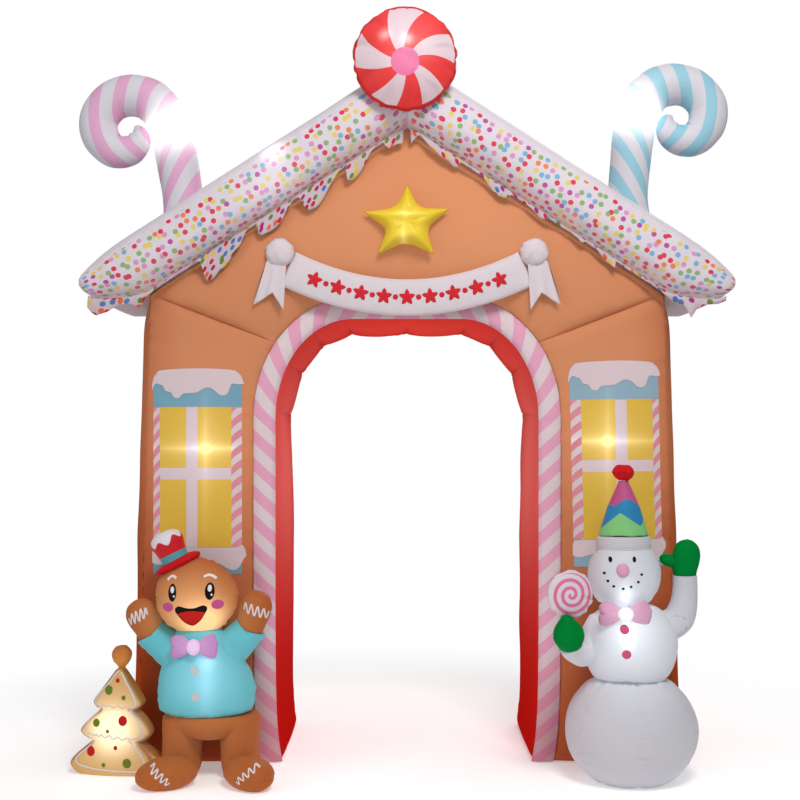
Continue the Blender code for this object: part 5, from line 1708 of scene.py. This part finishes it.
CUFF_RADIUS = 0.064
LIMB_SIDES = 56
SLEEVE = ((0, 0.075), (0.5, 0.072), (0.93, 0.066), (1, CUFF_RADIUS))
HAND = thousandths(
    (0, 55), (200, 58), (450, 62), (700, 60), (880, 47), (970, 28), (1000, 6),
)
hands = {}
for word, *joints in (
    ("left", (-0.866, 0.445), (-0.982, 0.54), (-1.052, 0.668)),
    ("right", (-0.7, 0.462), (-0.61, 0.556), (-0.566, 0.704)),
):
    y = GINGER_Y + 0.012
    start, end, last = (Vector((x, y, z)) for x, z in joints)
    way = (last - end).normalized()
    path = [(*start.lerp(end - way * GAP, share), radius) for share, radius in smooth_rows(SLEEVE, 8)]
    sleeve_rings = tube_rings(path, LIMB_SIDES)
    across = way.cross(Vector((0, 1, 0))).normalized()
    for row, pull in ((-1, 1.0), (-2, 0.9), (-3, 0.7), (-4, 0.45), (-5, 0.2)):
        for k, a in enumerate(circle(LIMB_SIDES)):
            square = end - way * (GAP - 0.0025 * (row + 1)) + CUFF_RADIUS * (
                math.cos(a) * across + math.sin(a) * across.cross(way)
            )
            sleeve_rings[row][k] = sleeve_rings[row][k].lerp(square, pull)
    sleeve = loft(f"sleeve_{word}", sleeve_rings)
    gather(sleeve, upright_seam(y, 0.003, 0.015))
    press(sleeve, shirt, head)
    path = [(*end.lerp(last, share), radius) for share, radius in smooth_rows(HAND, 7)]
    hands[word] = loft(f"hand_{word}", tube_rings(path, LIMB_SIDES))
    press(hands[word], head)
    settle(sleeve, shirt_cloth, f"ginger_sleeve_{word}")
    settle(hands[word], skin_cloth, f"ginger_hand_{word}")


BOW = (
    (0, 0.36), (42, 0.56), (48, 1.0), (57, 1.27), (65, 1.28), (78, 1.07), (90, 0.96), (102, 1.06), (115, 1.27),
    (123, 1.25), (132, 0.98), (138, 0.55), (180, 0.36),
)


def bow_tie(name, centre, half_width, half_height, cloth, slot, node, *behind):
    """A bow of two panels with a drawn-in middle, blown up so that folds run out from its knot."""

    def edge_at(angle):
        degrees = math.degrees(angle) % 360
        share = read_at(BOW, min(degrees, 360 - degrees))[0]
        wide, tall = math.sin(angle) / half_width, math.cos(angle) / half_height
        uneven = 1 + 0.05 * ripple((math.sin(angle), math.cos(angle), half_width), 4.0, 2.0)
        return share * uneven / math.hypot(wide, tall)

    bow = blown_up(name, edge_at, centre, 0.024, around=120, rows=14, pressure=4.0, frames=14)
    press(bow, *behind)
    settle(bow, cloth, node)
    return bow


lilac_cloth = lit_cloth(
    "bow_cloth", (0.56, 0.26, 0.56), (1.0, 0.8, 1.0), ((-0.8, -0.48, 0.51), 0.06, 0.15), roughness=0.45,
)
bow = bow_tie("figure_bow", (-0.8, GINGER_Y - 0.128, 0.512), 0.089, 0.047, lilac_cloth, "lilac_cloth",
              "ginger_bow", shirt, head)
knot_cloth = lit_cloth(
    "bow_knot_cloth", (0.74, 0.5, 0.78), (1.0, 0.85, 1.0), ((-0.8, GINGER_Y - 0.16, 0.512), 0.05, 0.2),
    roughness=0.4,
)
knot = ball("figure_bow_knot", (-0.8, GINGER_Y - 0.147, 0.512), (0.026, 0.016, 0.031), around=40, rows=24)
press(knot, bow, shirt)
settle(knot, knot_cloth, "ginger_bow_knot")


def printed_line(name, cloth_front, points, width, lift, material, per_span=6):
    """A line of icing of even width, printed along a smooth path of (x, z) points."""
    path = [Vector(point) for point in smooth_rows(points, per_span)]

    def place_at(u, v):
        k = min(round(u * (len(path) - 1)), len(path) - 1)
        way = (path[min(k + 1, len(path) - 1)] - path[max(k - 1, 0)]).normalized()
        point = path[k] + Vector((-way.y, way.x)) * (width * (v - 0.5))
        return point.x, point.y

    printed(name, cloth_front, place_at, len(path) - 1, 2, lift, material)


def printed_dots(cloth_front, slot, *rows):
    """Round prints, each (name, x, z, half width, half height, around, rows, lift, ink) and a puff if it has one."""
    for name, x, z, wide, tall, *rest in rows:
        around, steps, lift, material, *puff = rest
        printed_round(name, cloth_front, disc(x, z, wide, tall), around, steps, lift, material, slot, *puff)


black = ink("black_ink", (0.006, 0.005, 0.006), roughness=0.4)
white = ink("white_ink", (0.78, 0.76, 0.76))
plum = ink("cheek_ink", (0.56, 0.09, 0.28))
scarlet = ink("mouth_ink", (0.62, 0.015, 0.012))
icing_line = ink("icing_line_ink", (0.72, 0.66, 0.66))

head_front = front_of(head)
for word, x, z, wide, tall in (("left", -0.884, 0.713, 0.016, 0.033), ("right", -0.743, 0.719, 0.0175, 0.032)):
    printed_dots(
        head_front, "brown_cloth",
        (f"eye_{word}", x, z, wide, tall, 36, 4, 0.0008, black),
        (f"eye_{word}_shine", x, z + 0.011, 0.0075, 0.0125, 24, 2, 0.0017, white),
        (f"eye_{word}_spark", x + 0.007, z - 0.013, 0.0035, 0.0045, 16, 2, 0.0017, white),
    )
for word, x, z in (("left", -0.902, 0.658), ("right", -0.715, 0.668)):
    printed_dots(head_front, "brown_cloth", (f"cheek_{word}", x, z, 0.022, 0.018, 32, 3, 0.0008, plum))
MOUTH_TOP = thousandths(
    (0, 654), (120, 663), (350, 657), (500, 655.5), (650, 658), (880, 667), (1000, 660),
)
MOUTH_FOOT = thousandths(
    (0, 642), (100, 624), (250, 602), (450, 588), (600, 590), (800, 610), (930, 635), (1000, 650),
)
TONGUE_TOP = thousandths(
    (0, 634), (200, 641), (500, 645), (800, 643), (1000, 640),
)
TONGUE_FOOT = thousandths(
    (0, 632), (150, 612), (320, 596), (500, 590), (680, 597), (850, 614), (1000, 638),
)
printed("mouth", head_front, between(MOUTH_FOOT, MOUTH_TOP, -0.873, -0.752), 40, 12, 0.0008, black)
printed("mouth_red", head_front, between(TONGUE_FOOT, TONGUE_TOP, -0.863, -0.76), 36, 10, 0.0017, scarlet)
for word, points in (
    ("left", ((-0.907, 0.757), (-0.897, 0.769), (-0.885, 0.773), (-0.872, 0.766))),
    ("right", ((-0.768, 0.772), (-0.752, 0.778), (-0.736, 0.774), (-0.722, 0.764))),
):
    printed_line(f"brow_{word}", head_front, points, 0.0088, 0.0008, white)

HAND_ICING = {
    "left": thousandths(
        (-1066, 606), (-1056, 582), (-1052, 624), (-1039, 588), (-1036, 634), (-1021.5, 596), (-1018, 642),
        (-1004.5, 606), (-1001, 645), (-992, 620),
    ),
    "right": thousandths(
        (-624, 640), (-617, 665), (-607, 626), (-594, 660), (-584, 617), (-570, 652), (-562, 610), (-548, 643),
        (-541, 606), (-530, 632),
    ),
}
FOOT_ICING = {
    "left": thousandths(
        (-939, 94), (-925, 101), (-931, 73), (-909, 87), (-915.5, 58), (-890.5, 72), (-898, 42), (-874, 54),
        (-882, 30), (-866, 37),
    ),
    "right": thousandths(
        (-625, 41), (-612, 34), (-616, 58), (-595, 50), (-598, 74.5), (-577, 64), (-577, 90), (-557, 79),
        (-556, 102), (-537, 94),
    ),
}
for word in ("left", "right"):
    printed_line(f"hand_{word}_icing", front_of(hands[word]), HAND_ICING[word], 0.006, 0.001, icing_line,
                 8)
    printed_line(f"foot_{word}_icing", front_of(feet[word]), FOOT_ICING[word], 0.0055, 0.0012, icing_line,
                 8)
button_ink = ink("button_ink", (0.55, 0.6, 0.58))
printed_dots(
    front_of(shirt), "aqua_cloth",
    ("shirt_button_0", -0.7963, 0.4232, 0.0165, 0.0165, 32, 3, 0.0008, button_ink),
    ("shirt_button_1", -0.7898, 0.327, 0.0165, 0.0165, 32, 3, 0.0008, button_ink),
)

HAT_SEAT = Vector((-0.884, GINGER_Y - 0.002, 0.812))
HAT_LEAN = math.radians(-25.8)
felt = Cloth("hat_red_cloth")
felt_cloth = felt.finish((0.58, 0.006, 0.01), roughness=0.55, gloss=0.1, sheen=0.0)
BRIM = [
    (0.094 * max(math.cos(a), 0.0) ** 0.8, 0.02 * math.sin(a)) for a in even_steps(math.pi / 2, -math.pi / 2, 24)
]
brim = turned_form("hat_brim", BRIM, HAT_SEAT, turn=HAT_LEAN)
hat_up = Vector((math.sin(HAT_LEAN), 0, math.cos(HAT_LEAN)))
gather(brim, (
    lambda p: abs((p - HAT_SEAT).dot(hat_up)), lambda p: Vector((p.x, p.y, 0)), 0.003, 0.008, 13.0,
))
press(brim, head)
settle(brim, felt_cloth, "ginger_hat_brim")
CROWN = thousandths(
    (0, 134), (20, 133.5), (36, 130), (57, 116), (64, 92), (59, 68), (54, 40), (53, 24), (54, 10), (0, 10),
)
crown_piece = turned_form("hat_crown", capped(CROWN), HAT_SEAT, turn=HAT_LEAN)
press(crown_piece, brim)
hat = Cloth("hat_crown_cloth")
height, turn_angle = hat.kept("height"), hat.kept("angle")
wave = (turn_angle * 0.11).of("SINE") * 0.011 + (turn_angle * 0.043 + 1.0).of("SINE") * 0.006
snow_top = height > wave + 0.096
band = (height < 0.044) * (height > 0.016)
hat_dye = snow_top.mixed(band.mixed((0.6, 0.012, 0.018), (0.09, 0.36, 0.4)), (0.74, 0.68, 0.73))
settle(crown_piece, hat.finish(hat_dye, roughness=0.5), "ginger_hat_crown")


# ---- The biscuit tree ---------------------------------------------------------------------------------
# A three-tiered tree cushion with a deep golden gusset, sewn to the figure's leg. Icing outlines, waves and
# coloured dots are printed on its front, and a lamp inside lights its middle. The knob is its own chamber.

TREE = thousandths(
    (0, 130, 4, 50), (12, 154, 2, 61), (42, 168, 0, 68), (78, 148, 6, 70), (112, 112, 12, 68), (130, 94, 16, 62),
    (140, 120, 16, 62), (166, 143, 16, 68), (200, 122, 20, 68), (234, 86, 22, 64), (249, 71, 23, 58),
    (258, 86, 23, 58), (280, 100, 24, 62), (318, 76, 26, 58), (362, 44, 28, 48), (394, 22, 30, 32),
    (404, 14, 31, 24),
)
TREE_TURN = 0.17
TREE_X = -1.136
TREE_Y = FRONT_Y - 0.165
TREE_SIDES = 128
tree_edge = [
    Vector((TREE_X + shift + side * wide, height)) for side in (-1, 1) for height, wide, shift, _ in
    smooth_rows(TREE, 3)
]
rings, rims = [], []
for height, wide, shift, deep in smooth_rows(TREE, 6):
    ring, rim = [], []
    for a in circle(TREE_SIDES):
        across = fuller(math.cos(a), 0.6) * wide
        reach = 0.058 * math.exp(-(height / 0.09) ** 2) * (across / wide) ** 2 if across > 0 else 0.0
        x = shift + across * (1 + reach / wide)
        ring.append(Vector((TREE_X + x, TREE_Y + fuller(math.sin(a), 0.5) * deep - TREE_TURN * x, height)))
        in_front = math.sin(a) < -0.35
        rim.append(min((Vector((TREE_X + x, height)) - edge).length for edge in tree_edge) if in_front else 0.0)
    rings.append(ring)
    rims.append(rim)
tree = loft("tree_cushion", rings, kept={"rim": rims})
gather(tree, level_seam(0.133, 0.003, 0.014), level_seam(0.252, 0.003, 0.014, 6.0))
press(tree, legs["left"], feet["left"], shell)
to_floor(tree)
biscuit = Cloth("tree_cloth")
lamp_at = (-1.126, TREE_Y - 0.06, 0.18)
rim = biscuit.kept("rim")
front_panel = (rim * 70.0).of("MINIMUM", 1.0)
tree_dye = front_panel.mixed((0.26, 0.055, 0.005), (0.62, 0.36, 0.12))
tree_dye = (rim > 0.0015).mixed((0.47, 0.17, 0.02), tree_dye)
lit = biscuit.lamps((lamp_at, 0.075, 1.25), (lamp_at, 0.16, 0.22)) * (front_panel * 0.7 + 0.3)
settle(tree, biscuit.finish(tree_dye, lit.lit((1.0, 0.88, 0.64)), gloss=0.1), "biscuit_tree")
tree_front = front_of(tree)
TREE_ICING = (
    thousandths(
        (-1106, 401), (-1120, 389), (-1139, 362), (-1162, 337), (-1183, 314), (-1195, 296), (-1198, 283),
        (-1191, 270), (-1177, 262), (-1170, 263), (-1164, 272), (-1151, 266), (-1139, 272), (-1124, 263),
        (-1105, 272), (-1093, 261), (-1076, 266), (-1062, 258), (-1047, 262), (-1039, 275), (-1041, 295),
        (-1051, 318), (-1066, 344), (-1083, 373), (-1099, 397),
    ),
    thousandths(
        (-1178, 255), (-1201, 232), (-1220, 213), (-1232, 194), (-1234, 180), (-1228, 167), (-1212, 161),
        (-1197, 156), (-1188, 161), (-1180, 152), (-1169, 160), (-1157, 148), (-1138, 158), (-1125, 144),
        (-1105, 152), (-1088, 142), (-1071, 150), (-1056, 146), (-1037, 148), (-1021, 158), (-1014, 175),
        (-1017, 194), (-1029, 217), (-1048, 236), (-1063, 249), (-1069, 259),
    ),
    thousandths(
        (-1201, 138), (-1214, 121), (-1235, 100), (-1257, 83), (-1272, 67), (-1274, 54), (-1262, 42.5), (-1234, 35),
        (-1192, 28), (-1135, 24), (-1077, 22), (-1020, 24), (-1003, 35), (-1000, 54), (-1008, 75), (-1028, 102),
        (-1050, 125), (-1066, 140),
    ),
)
for k, points in enumerate(TREE_ICING):
    printed_line(f"tree_icing_{k}", tree_front, points, 0.0058, 0.001, icing_line)
tree_red = ink("tree_red_ink", (0.5, 0.012, 0.012))
tree_green = ink("tree_green_ink", (0.14, 0.2, 0.018))
for k, (x, z, radius, dye) in enumerate((
    (-1.109, 0.366, 0.0075, tree_red), (-1.143, 0.33, 0.0155, tree_green), (-1.083, 0.303, 0.0078, tree_green),
    (-1.19, 0.205, 0.0135, tree_green), (-1.086, 0.215, 0.017, tree_red), (-1.145, 0.174, 0.0065, tree_green),
    (-1.213, 0.095, 0.0165, tree_red), (-1.1135, 0.112, 0.0075, tree_red), (-1.069, 0.054, 0.0165, tree_green),
    (-1.161, 0.045, 0.0075, tree_green),
)):
    printed_dots(tree_front, "biscuit_cloth", (f"tree_dot_{k}", x, z, radius, radius * 1.12, 28, 3, 0.001, dye))
KNOB = thousandths(
    (0, 90), (8, 89.5), (22, 87), (38, 70), (41, 50), (34, 28), (18, 8), (13, 0), (0, 0),
)
knob = turned_form("tree_top_knob", capped(KNOB), (TREE_X + 0.031, TREE_Y, TREE[-1][0] + GAP), around=56, depth=0.8)
gather(knob, upright_seam(TREE_Y, 0.003, 0.01))
knob_cloth = lit_cloth(
    "knob_cloth", (0.4, 0.12, 0.02), (1.0, 0.45, 0.1), ((TREE_X + 0.031, TREE_Y - 0.03, 0.43), 0.05, 0.25),
    roughness=0.45,
)
settle(knob, knob_cloth, "tree_knob")


# ---- The snowman --------------------------------------------------------------------------------------
# Three white balls, pressed flat where they are sewn together, under a cone hat with a stretch band. One arm
# waves a green mitten and the other holds a lollipop. The face and buttons are printed; a lamp hangs in the
# head and one in the body, and the lowest ball is unlit.

SNOW_X = 0.85
SNOW_Y = FRONT_Y - 0.262
SNOW_WAIST = 0.385
SNOW_NECK = 0.662
SNOW_BROW = 0.872
CONE_FOOT = 0.925
CONE_TIP = 1.132
WRIST_Z = 0.773
SNOW = (0.56, 0.55, 0.585)


def round_profile(radius, top, bottom, count, top_flat=0.0, bottom_flat=0.0):
    """Profile of a blown-up ball from its top to its bottom, pressed flat where a flat radius is given."""
    middle, half = (top + bottom) / 2, (top - bottom) / 2
    start = math.asin(min(1.0, top_flat / radius))
    end = math.pi - math.asin(min(1.0, bottom_flat / radius))
    rise = half / max(math.cos(start), 1e-6)
    drop = half / max(-math.cos(end), 1e-6)
    profile = [(0.0, top)] if top_flat else []
    for a in even_steps(start, end, count):
        stretch = rise if a < math.pi / 2 else drop
        profile.append((max(radius * math.sin(a), 0.0), middle + stretch * math.cos(a)))
    if bottom_flat:
        profile.append((0.0, bottom))
    return profile


def gores(x, y, count, turn, depth=0.0015):
    """The upright seams between a ball's panels."""

    def distance(p):
        angle = math.atan2(p.y - y, p.x - x) - turn
        swing = (angle * count / (2 * math.pi)) % 1.0
        return min(swing, 1 - swing) * 2 * math.pi / count * math.hypot(p.x - x, p.y - y)

    return (distance, lambda p: Vector((0, 0, p.z)), depth, 0.012, 4.0)


snow = Cloth("snow_cloth")
beam_x = snow.place.part("X") - 0.811
beam_x = beam_x * beam_x * -2200.0
white_lamps = snow.lamp((0.808, SNOW_Y - 0.12, 0.694), 0.045) * 0.4
for z, reach, strength in ((0.56, 0.045, 0.32), (0.6, 0.06, 0.2), (0.715, 0.045, 0.25)):
    beam_z = snow.place.part("Z") - z
    white_lamps = white_lamps + (beam_z * beam_z * (-1 / reach ** 2) + beam_x).of("EXPONENT") * strength
for x, forward, z, reach, strength in (
    (0.825, 0.12, 0.54, 0.19, 0.34), (0.81, 0.17, 0.58, 0.075, 0.22), (0.82, 0.1, 0.76, 0.16, 0.12),
):
    white_lamps = white_lamps + snow.lamp((x, SNOW_Y - forward, z), reach) * strength
snow_cloth = snow.finish(SNOW, white_lamps.lit((0.8, 0.9, 1.0)))

snow_base = turned_form("snowman_base", round_profile(0.25, SNOW_WAIST - GAP, 0.0, 56, 0.135, 0.14),
                        (SNOW_X, SNOW_Y, 0), around=128)
gather(snow_base, gores(SNOW_X, SNOW_Y, 6, 0.55, 0.0045), level_seam(SNOW_WAIST, 0.0025, 0.03, 3.0))
press(snow_base, shell)
to_floor(snow_base)
snow_body = turned_form("snowman_body", round_profile(0.178, SNOW_NECK - GAP, SNOW_WAIST, 44, 0.08, 0.135),
                        (SNOW_X - 0.003, SNOW_Y, 0), around=112, depth=0.95)
gather(snow_body, gores(SNOW_X, SNOW_Y, 6, 0.2), level_seam(SNOW_WAIST, 0.0015, 0.02, 4.0))
press(snow_body, snow_base)
snow_head = turned_form("snowman_head", round_profile(0.139, SNOW_BROW + 0.02, SNOW_NECK, 40, 0.085, 0.075),
                        (SNOW_X - 0.026, SNOW_Y, 0), around=104, depth=0.95)
gather(snow_head, upright_seam(SNOW_Y, 0.003, 0.015), level_seam(SNOW_NECK, 0.005, 0.025, 5.0))
press(snow_head, snow_body)
settle(snow_base, snow_cloth, "snow_base")
settle(snow_body, snow_cloth, "snow_body")
settle(snow_head, snow_cloth, "snow_head")

BROW = ((0.0, CONE_FOOT - GAP), (0.095, CONE_FOOT - GAP), (0.1, CONE_FOOT - 0.004), (0.102, CONE_FOOT - 0.014),
        (0.1035, CONE_FOOT - 0.03), (0.104, SNOW_BROW + 0.02), (0.103, SNOW_BROW + 0.006), (0.1, SNOW_BROW),
        (0.0, SNOW_BROW))
brow_band = turned_form("hat_stretch_band", capped(BROW, 5), (SNOW_X - 0.028, SNOW_Y, 0), depth=0.95)
press(brow_band, snow_head)
ribbed = Cloth("stretch_band_cloth")
# Painted shade: the knit's ribs are painted as level bands, lighter on the ribs and darker in the grooves between
# them.
painted_rib_shade = (((ribbed.place.part("Z") * 700.0).of("SINE") + 1.0) * 0.5).mixed((0.5, 0.5, 0.53), (0.62, 0.6, 0.63))
settle(brow_band, ribbed.finish(painted_rib_shade, roughness=0.6), "snow_hat_band")

CONE = ((0.0, CONE_TIP - GAP), (0.018, CONE_TIP - GAP), (0.021, CONE_TIP - 0.01), (0.062, 1.03), (0.08, 0.974),
        (0.096, CONE_FOOT + 0.004), (0.095, CONE_FOOT), (0.0, CONE_FOOT))
cone_rows = [(radius, height) for height, radius in pieced_rows([(h, r) for r, h in CONE], 0.006)]
cone = turned_form("party_hat", cone_rows, (SNOW_X - 0.03, SNOW_Y, 0), depth=0.95)
gather(cone, level_seam(CONE_FOOT, 0.002, 0.015, 8.0))
party = Cloth("party_hat_cloth")
height, turn_angle = party.kept("height"), party.kept("angle")
upper = ((turn_angle * 0.0507 - 3.4).of("SINE") * 0.96).of("ARCSINE") * 0.011 + 1.052
lower = ((turn_angle * 0.0507 - 2.08).of("SINE") * 0.96).of("ARCSINE") * 0.02 + turn_angle * 0.0001 + 0.979
bands = (height > upper).mixed((height > lower).mixed((0.2, 0.52, 0.18), (0.02, 0.21, 0.42)), (0.48, 0.08, 0.22))
settle(cone, party.finish(bands), "snow_hat")

TUFT = thousandths(
    (0, 62), (10, 61.7), (26, 58), (41, 42), (43, 30), (32, 14), (18, 1), (0, 0),
)
tuft = turned_form("party_hat_pompom", capped(TUFT), (SNOW_X - 0.03, SNOW_Y, CONE_TIP), around=60)
gather(tuft, level_seam(CONE_TIP + 0.03, 0.004, 0.012, 15.0), gores(SNOW_X - 0.03, SNOW_Y, 8, 0.1, 0.004))
settle(tuft, felt_cloth, "snow_pompom")

y = SNOW_Y + 0.01
RAISED = (
    (0.93, y, 0.56, 0.064), (0.985, y, 0.575, 0.062), (1.03, y, 0.605, 0.058), (1.052, y, 0.66, 0.052),
    (1.056, y, 0.72, 0.048), (1.056, y, WRIST_Z, 0.046),
)
arm = loft("arm_raised", tube_rings(smooth_rows(RAISED, 22), 96))
elbow = Vector((1.02, 0.587))
gather(arm, (
    lambda p: abs((Vector((p.x, p.z)) - elbow).length - 0.036) if p.y < y else 1.0,
    lambda p: Vector((p.x, 0, p.z)), 0.004, 0.008, 3.0,
))
press(arm, snow_body)
settle(arm, snow_cloth, "snow_arm_raised")
leaf = Cloth("mitten_cloth")
leaf_cloth = leaf.finish((0.0, 0.215, 0.035), roughness=0.6, gloss=0.02, sheen=0.0)
wrist = WRIST_Z + GAP
PALM = (
    (1.056, y, wrist, 0.044), (1.056, y, wrist + 0.03, 0.05), (1.062, y, wrist + 0.075, 0.054),
    (1.064, y, wrist + 0.11, 0.046), (1.065, y, wrist + 0.13, 0.026), (1.065, y, wrist + 0.137, 0.005),
)
palm = loft("mitten_raised", tube_rings(smooth_rows(PALM, 9), 60, flat=0.8))
thumb = ball("mitten_thumb", (1.0, y, wrist + 0.055), (0.042, 0.022, 0.024), tilt=math.radians(20), around=40,
             rows=24)
whole = palm.modifiers.new("Thumb", "BOOLEAN")
whole.operation = "UNION"
whole.object = thumb
applied(palm).shade_smooth()
bpy.data.objects.remove(thumb, do_unlink=True)
press(palm, arm)
settle(palm, leaf_cloth, "snow_mitten_raised")

FOLDED = (
    (0.74, SNOW_Y, 0.6, 0.052), (0.703, SNOW_Y - 0.02, 0.54, 0.052), (0.675, SNOW_Y - 0.05, 0.494, 0.048),
    (0.648, SNOW_Y - 0.085, 0.488, 0.045), (0.618, SNOW_Y - 0.118, 0.508, 0.045),
    (0.6, SNOW_Y - 0.14, 0.536, 0.047),
)
folded = loft("arm_folded", tube_rings(smooth_rows(FOLDED, 10), 52, across=(0, 1, 0.25)))
press(folded, snow_body, snow_base)
settle(folded, snow_cloth, "snow_arm_folded")
end = Vector(FOLDED[-1][:3])
coarse = smooth_rows(FOLDED, 2)
way = (Vector(coarse[-1][:3]) - Vector(coarse[-2][:3])).normalized()
path = []
for along, radius in smooth_rows(
    ((0.0, 0.046), (0.03, 0.057), (0.055, 0.056), (0.09, 0.036), (0.118, 0.016), (0.13, 0.004)), 8,
):
    lean = Vector((0.03, -0.01, 0.02)) * (along / 0.13)
    path.append((*(end + way * (along + GAP) + lean), radius))
fist = loft("mitten_folded", tube_rings(path, 52, across=(0, 1, 0.25)))
press(fist, folded, snow_body)
settle(fist, leaf_cloth, "snow_mitten_folded")

SWEET_CENTRE = Vector((0.598, SNOW_Y - 0.17, 0.722))
SWEET_TURN = math.radians(14)
sweet = blown_up(
    "lollipop_disc", wavy(0.089, 0.004, 4.0, 4.0, 2), SWEET_CENTRE, 0.027, around=110, rows=12, pressure=5.0,
    frames=16, turn=SWEET_TURN,
)
press(sweet, fist, snow_head)
lolly = Cloth("lollipop_cloth")
x = (lolly.place.part("X") - SWEET_CENTRE.x) / math.cos(SWEET_TURN)
z = lolly.place.part("Z") - SWEET_CENTRE.z
away = (x * x + z * z) ** 0.5
swirl = away / 0.0285 + x.of("ARCTAN2", z) / (2 * math.pi) + 10.35
pink_band = (swirl.of("FRACT") < 0.46) * (away < 0.079)
settle(sweet, lolly.finish(pink_band.mixed((0.7, 0.62, 0.66), (0.72, 0.16, 0.32)), roughness=0.45),
       "lollipop")

rose_cloth = lit_cloth(
    "snow_bow_cloth", (0.68, 0.33, 0.5), (1.0, 0.85, 0.95), ((0.806, SNOW_Y - 0.15, 0.645), 0.07, 0.2),
    roughness=0.45,
)
snow_bow = bow_tie("snowman_bow", (SNOW_X - 0.044, SNOW_Y - 0.126, 0.645), 0.1, 0.046, rose_cloth, "pink_cloth",
                   "snow_bow", snow_body, snow_head)
snow_knot = ball("snowman_bow_knot", (SNOW_X - 0.044, SNOW_Y - 0.148, 0.645), (0.03, 0.018, 0.026), around=40,
                 rows=24)
press(snow_knot, snow_bow, snow_body, snow_head)
bright_cloth = lit_cloth(
    "snow_knot_cloth", (0.75, 0.74, 0.76), (1.0, 1.0, 1.0), ((0.806, SNOW_Y - 0.16, 0.645), 0.04, 0.5),
)
settle(snow_knot, bright_cloth, "snow_bow_knot")

SNOW_FACE = (
    ("eye", 0.0068, 0.0105, 24, ((0.7557, 0.8437), (0.8427, 0.8446))),
    ("smile", 0.0052, 0.0048, 20, (
        (0.7335, 0.7928), (0.7456, 0.7641), (0.7659, 0.7447), (0.8001, 0.7364), (0.8288, 0.7438),
        (0.8556, 0.7614), (0.8686, 0.7891),
    )),
)
coal_front = front_of(snow_head)
for word, wide, tall, around, places in SNOW_FACE:
    for k, (x, z) in enumerate(places):
        printed_dots(coal_front, "white_cloth", (f"snow_{word}_{k}", x, z, wide, tall, around, 2, 0.0008, black))
nose_ink = ink("nose_ink", (0.72, 0.36, 0.5))
printed_dots(
    coal_front, "white_cloth", ("snow_nose", 0.7984, 0.8044, 0.0235, 0.0255, 36, 6, 0.0006, nose_ink, 0.012),
)
button = ink("snow_button_ink", (0.66, 0.1, 0.2))
printed_dots(
    front_of(snow_body), "white_cloth",
    ("snow_button_0", 0.8009, 0.5894, 0.0165, 0.0165, 32, 4, 0.0008, button, 0.004),
    ("snow_button_1", 0.8055, 0.4996, 0.0165, 0.0165, 32, 4, 0.0008, button, 0.004),
)
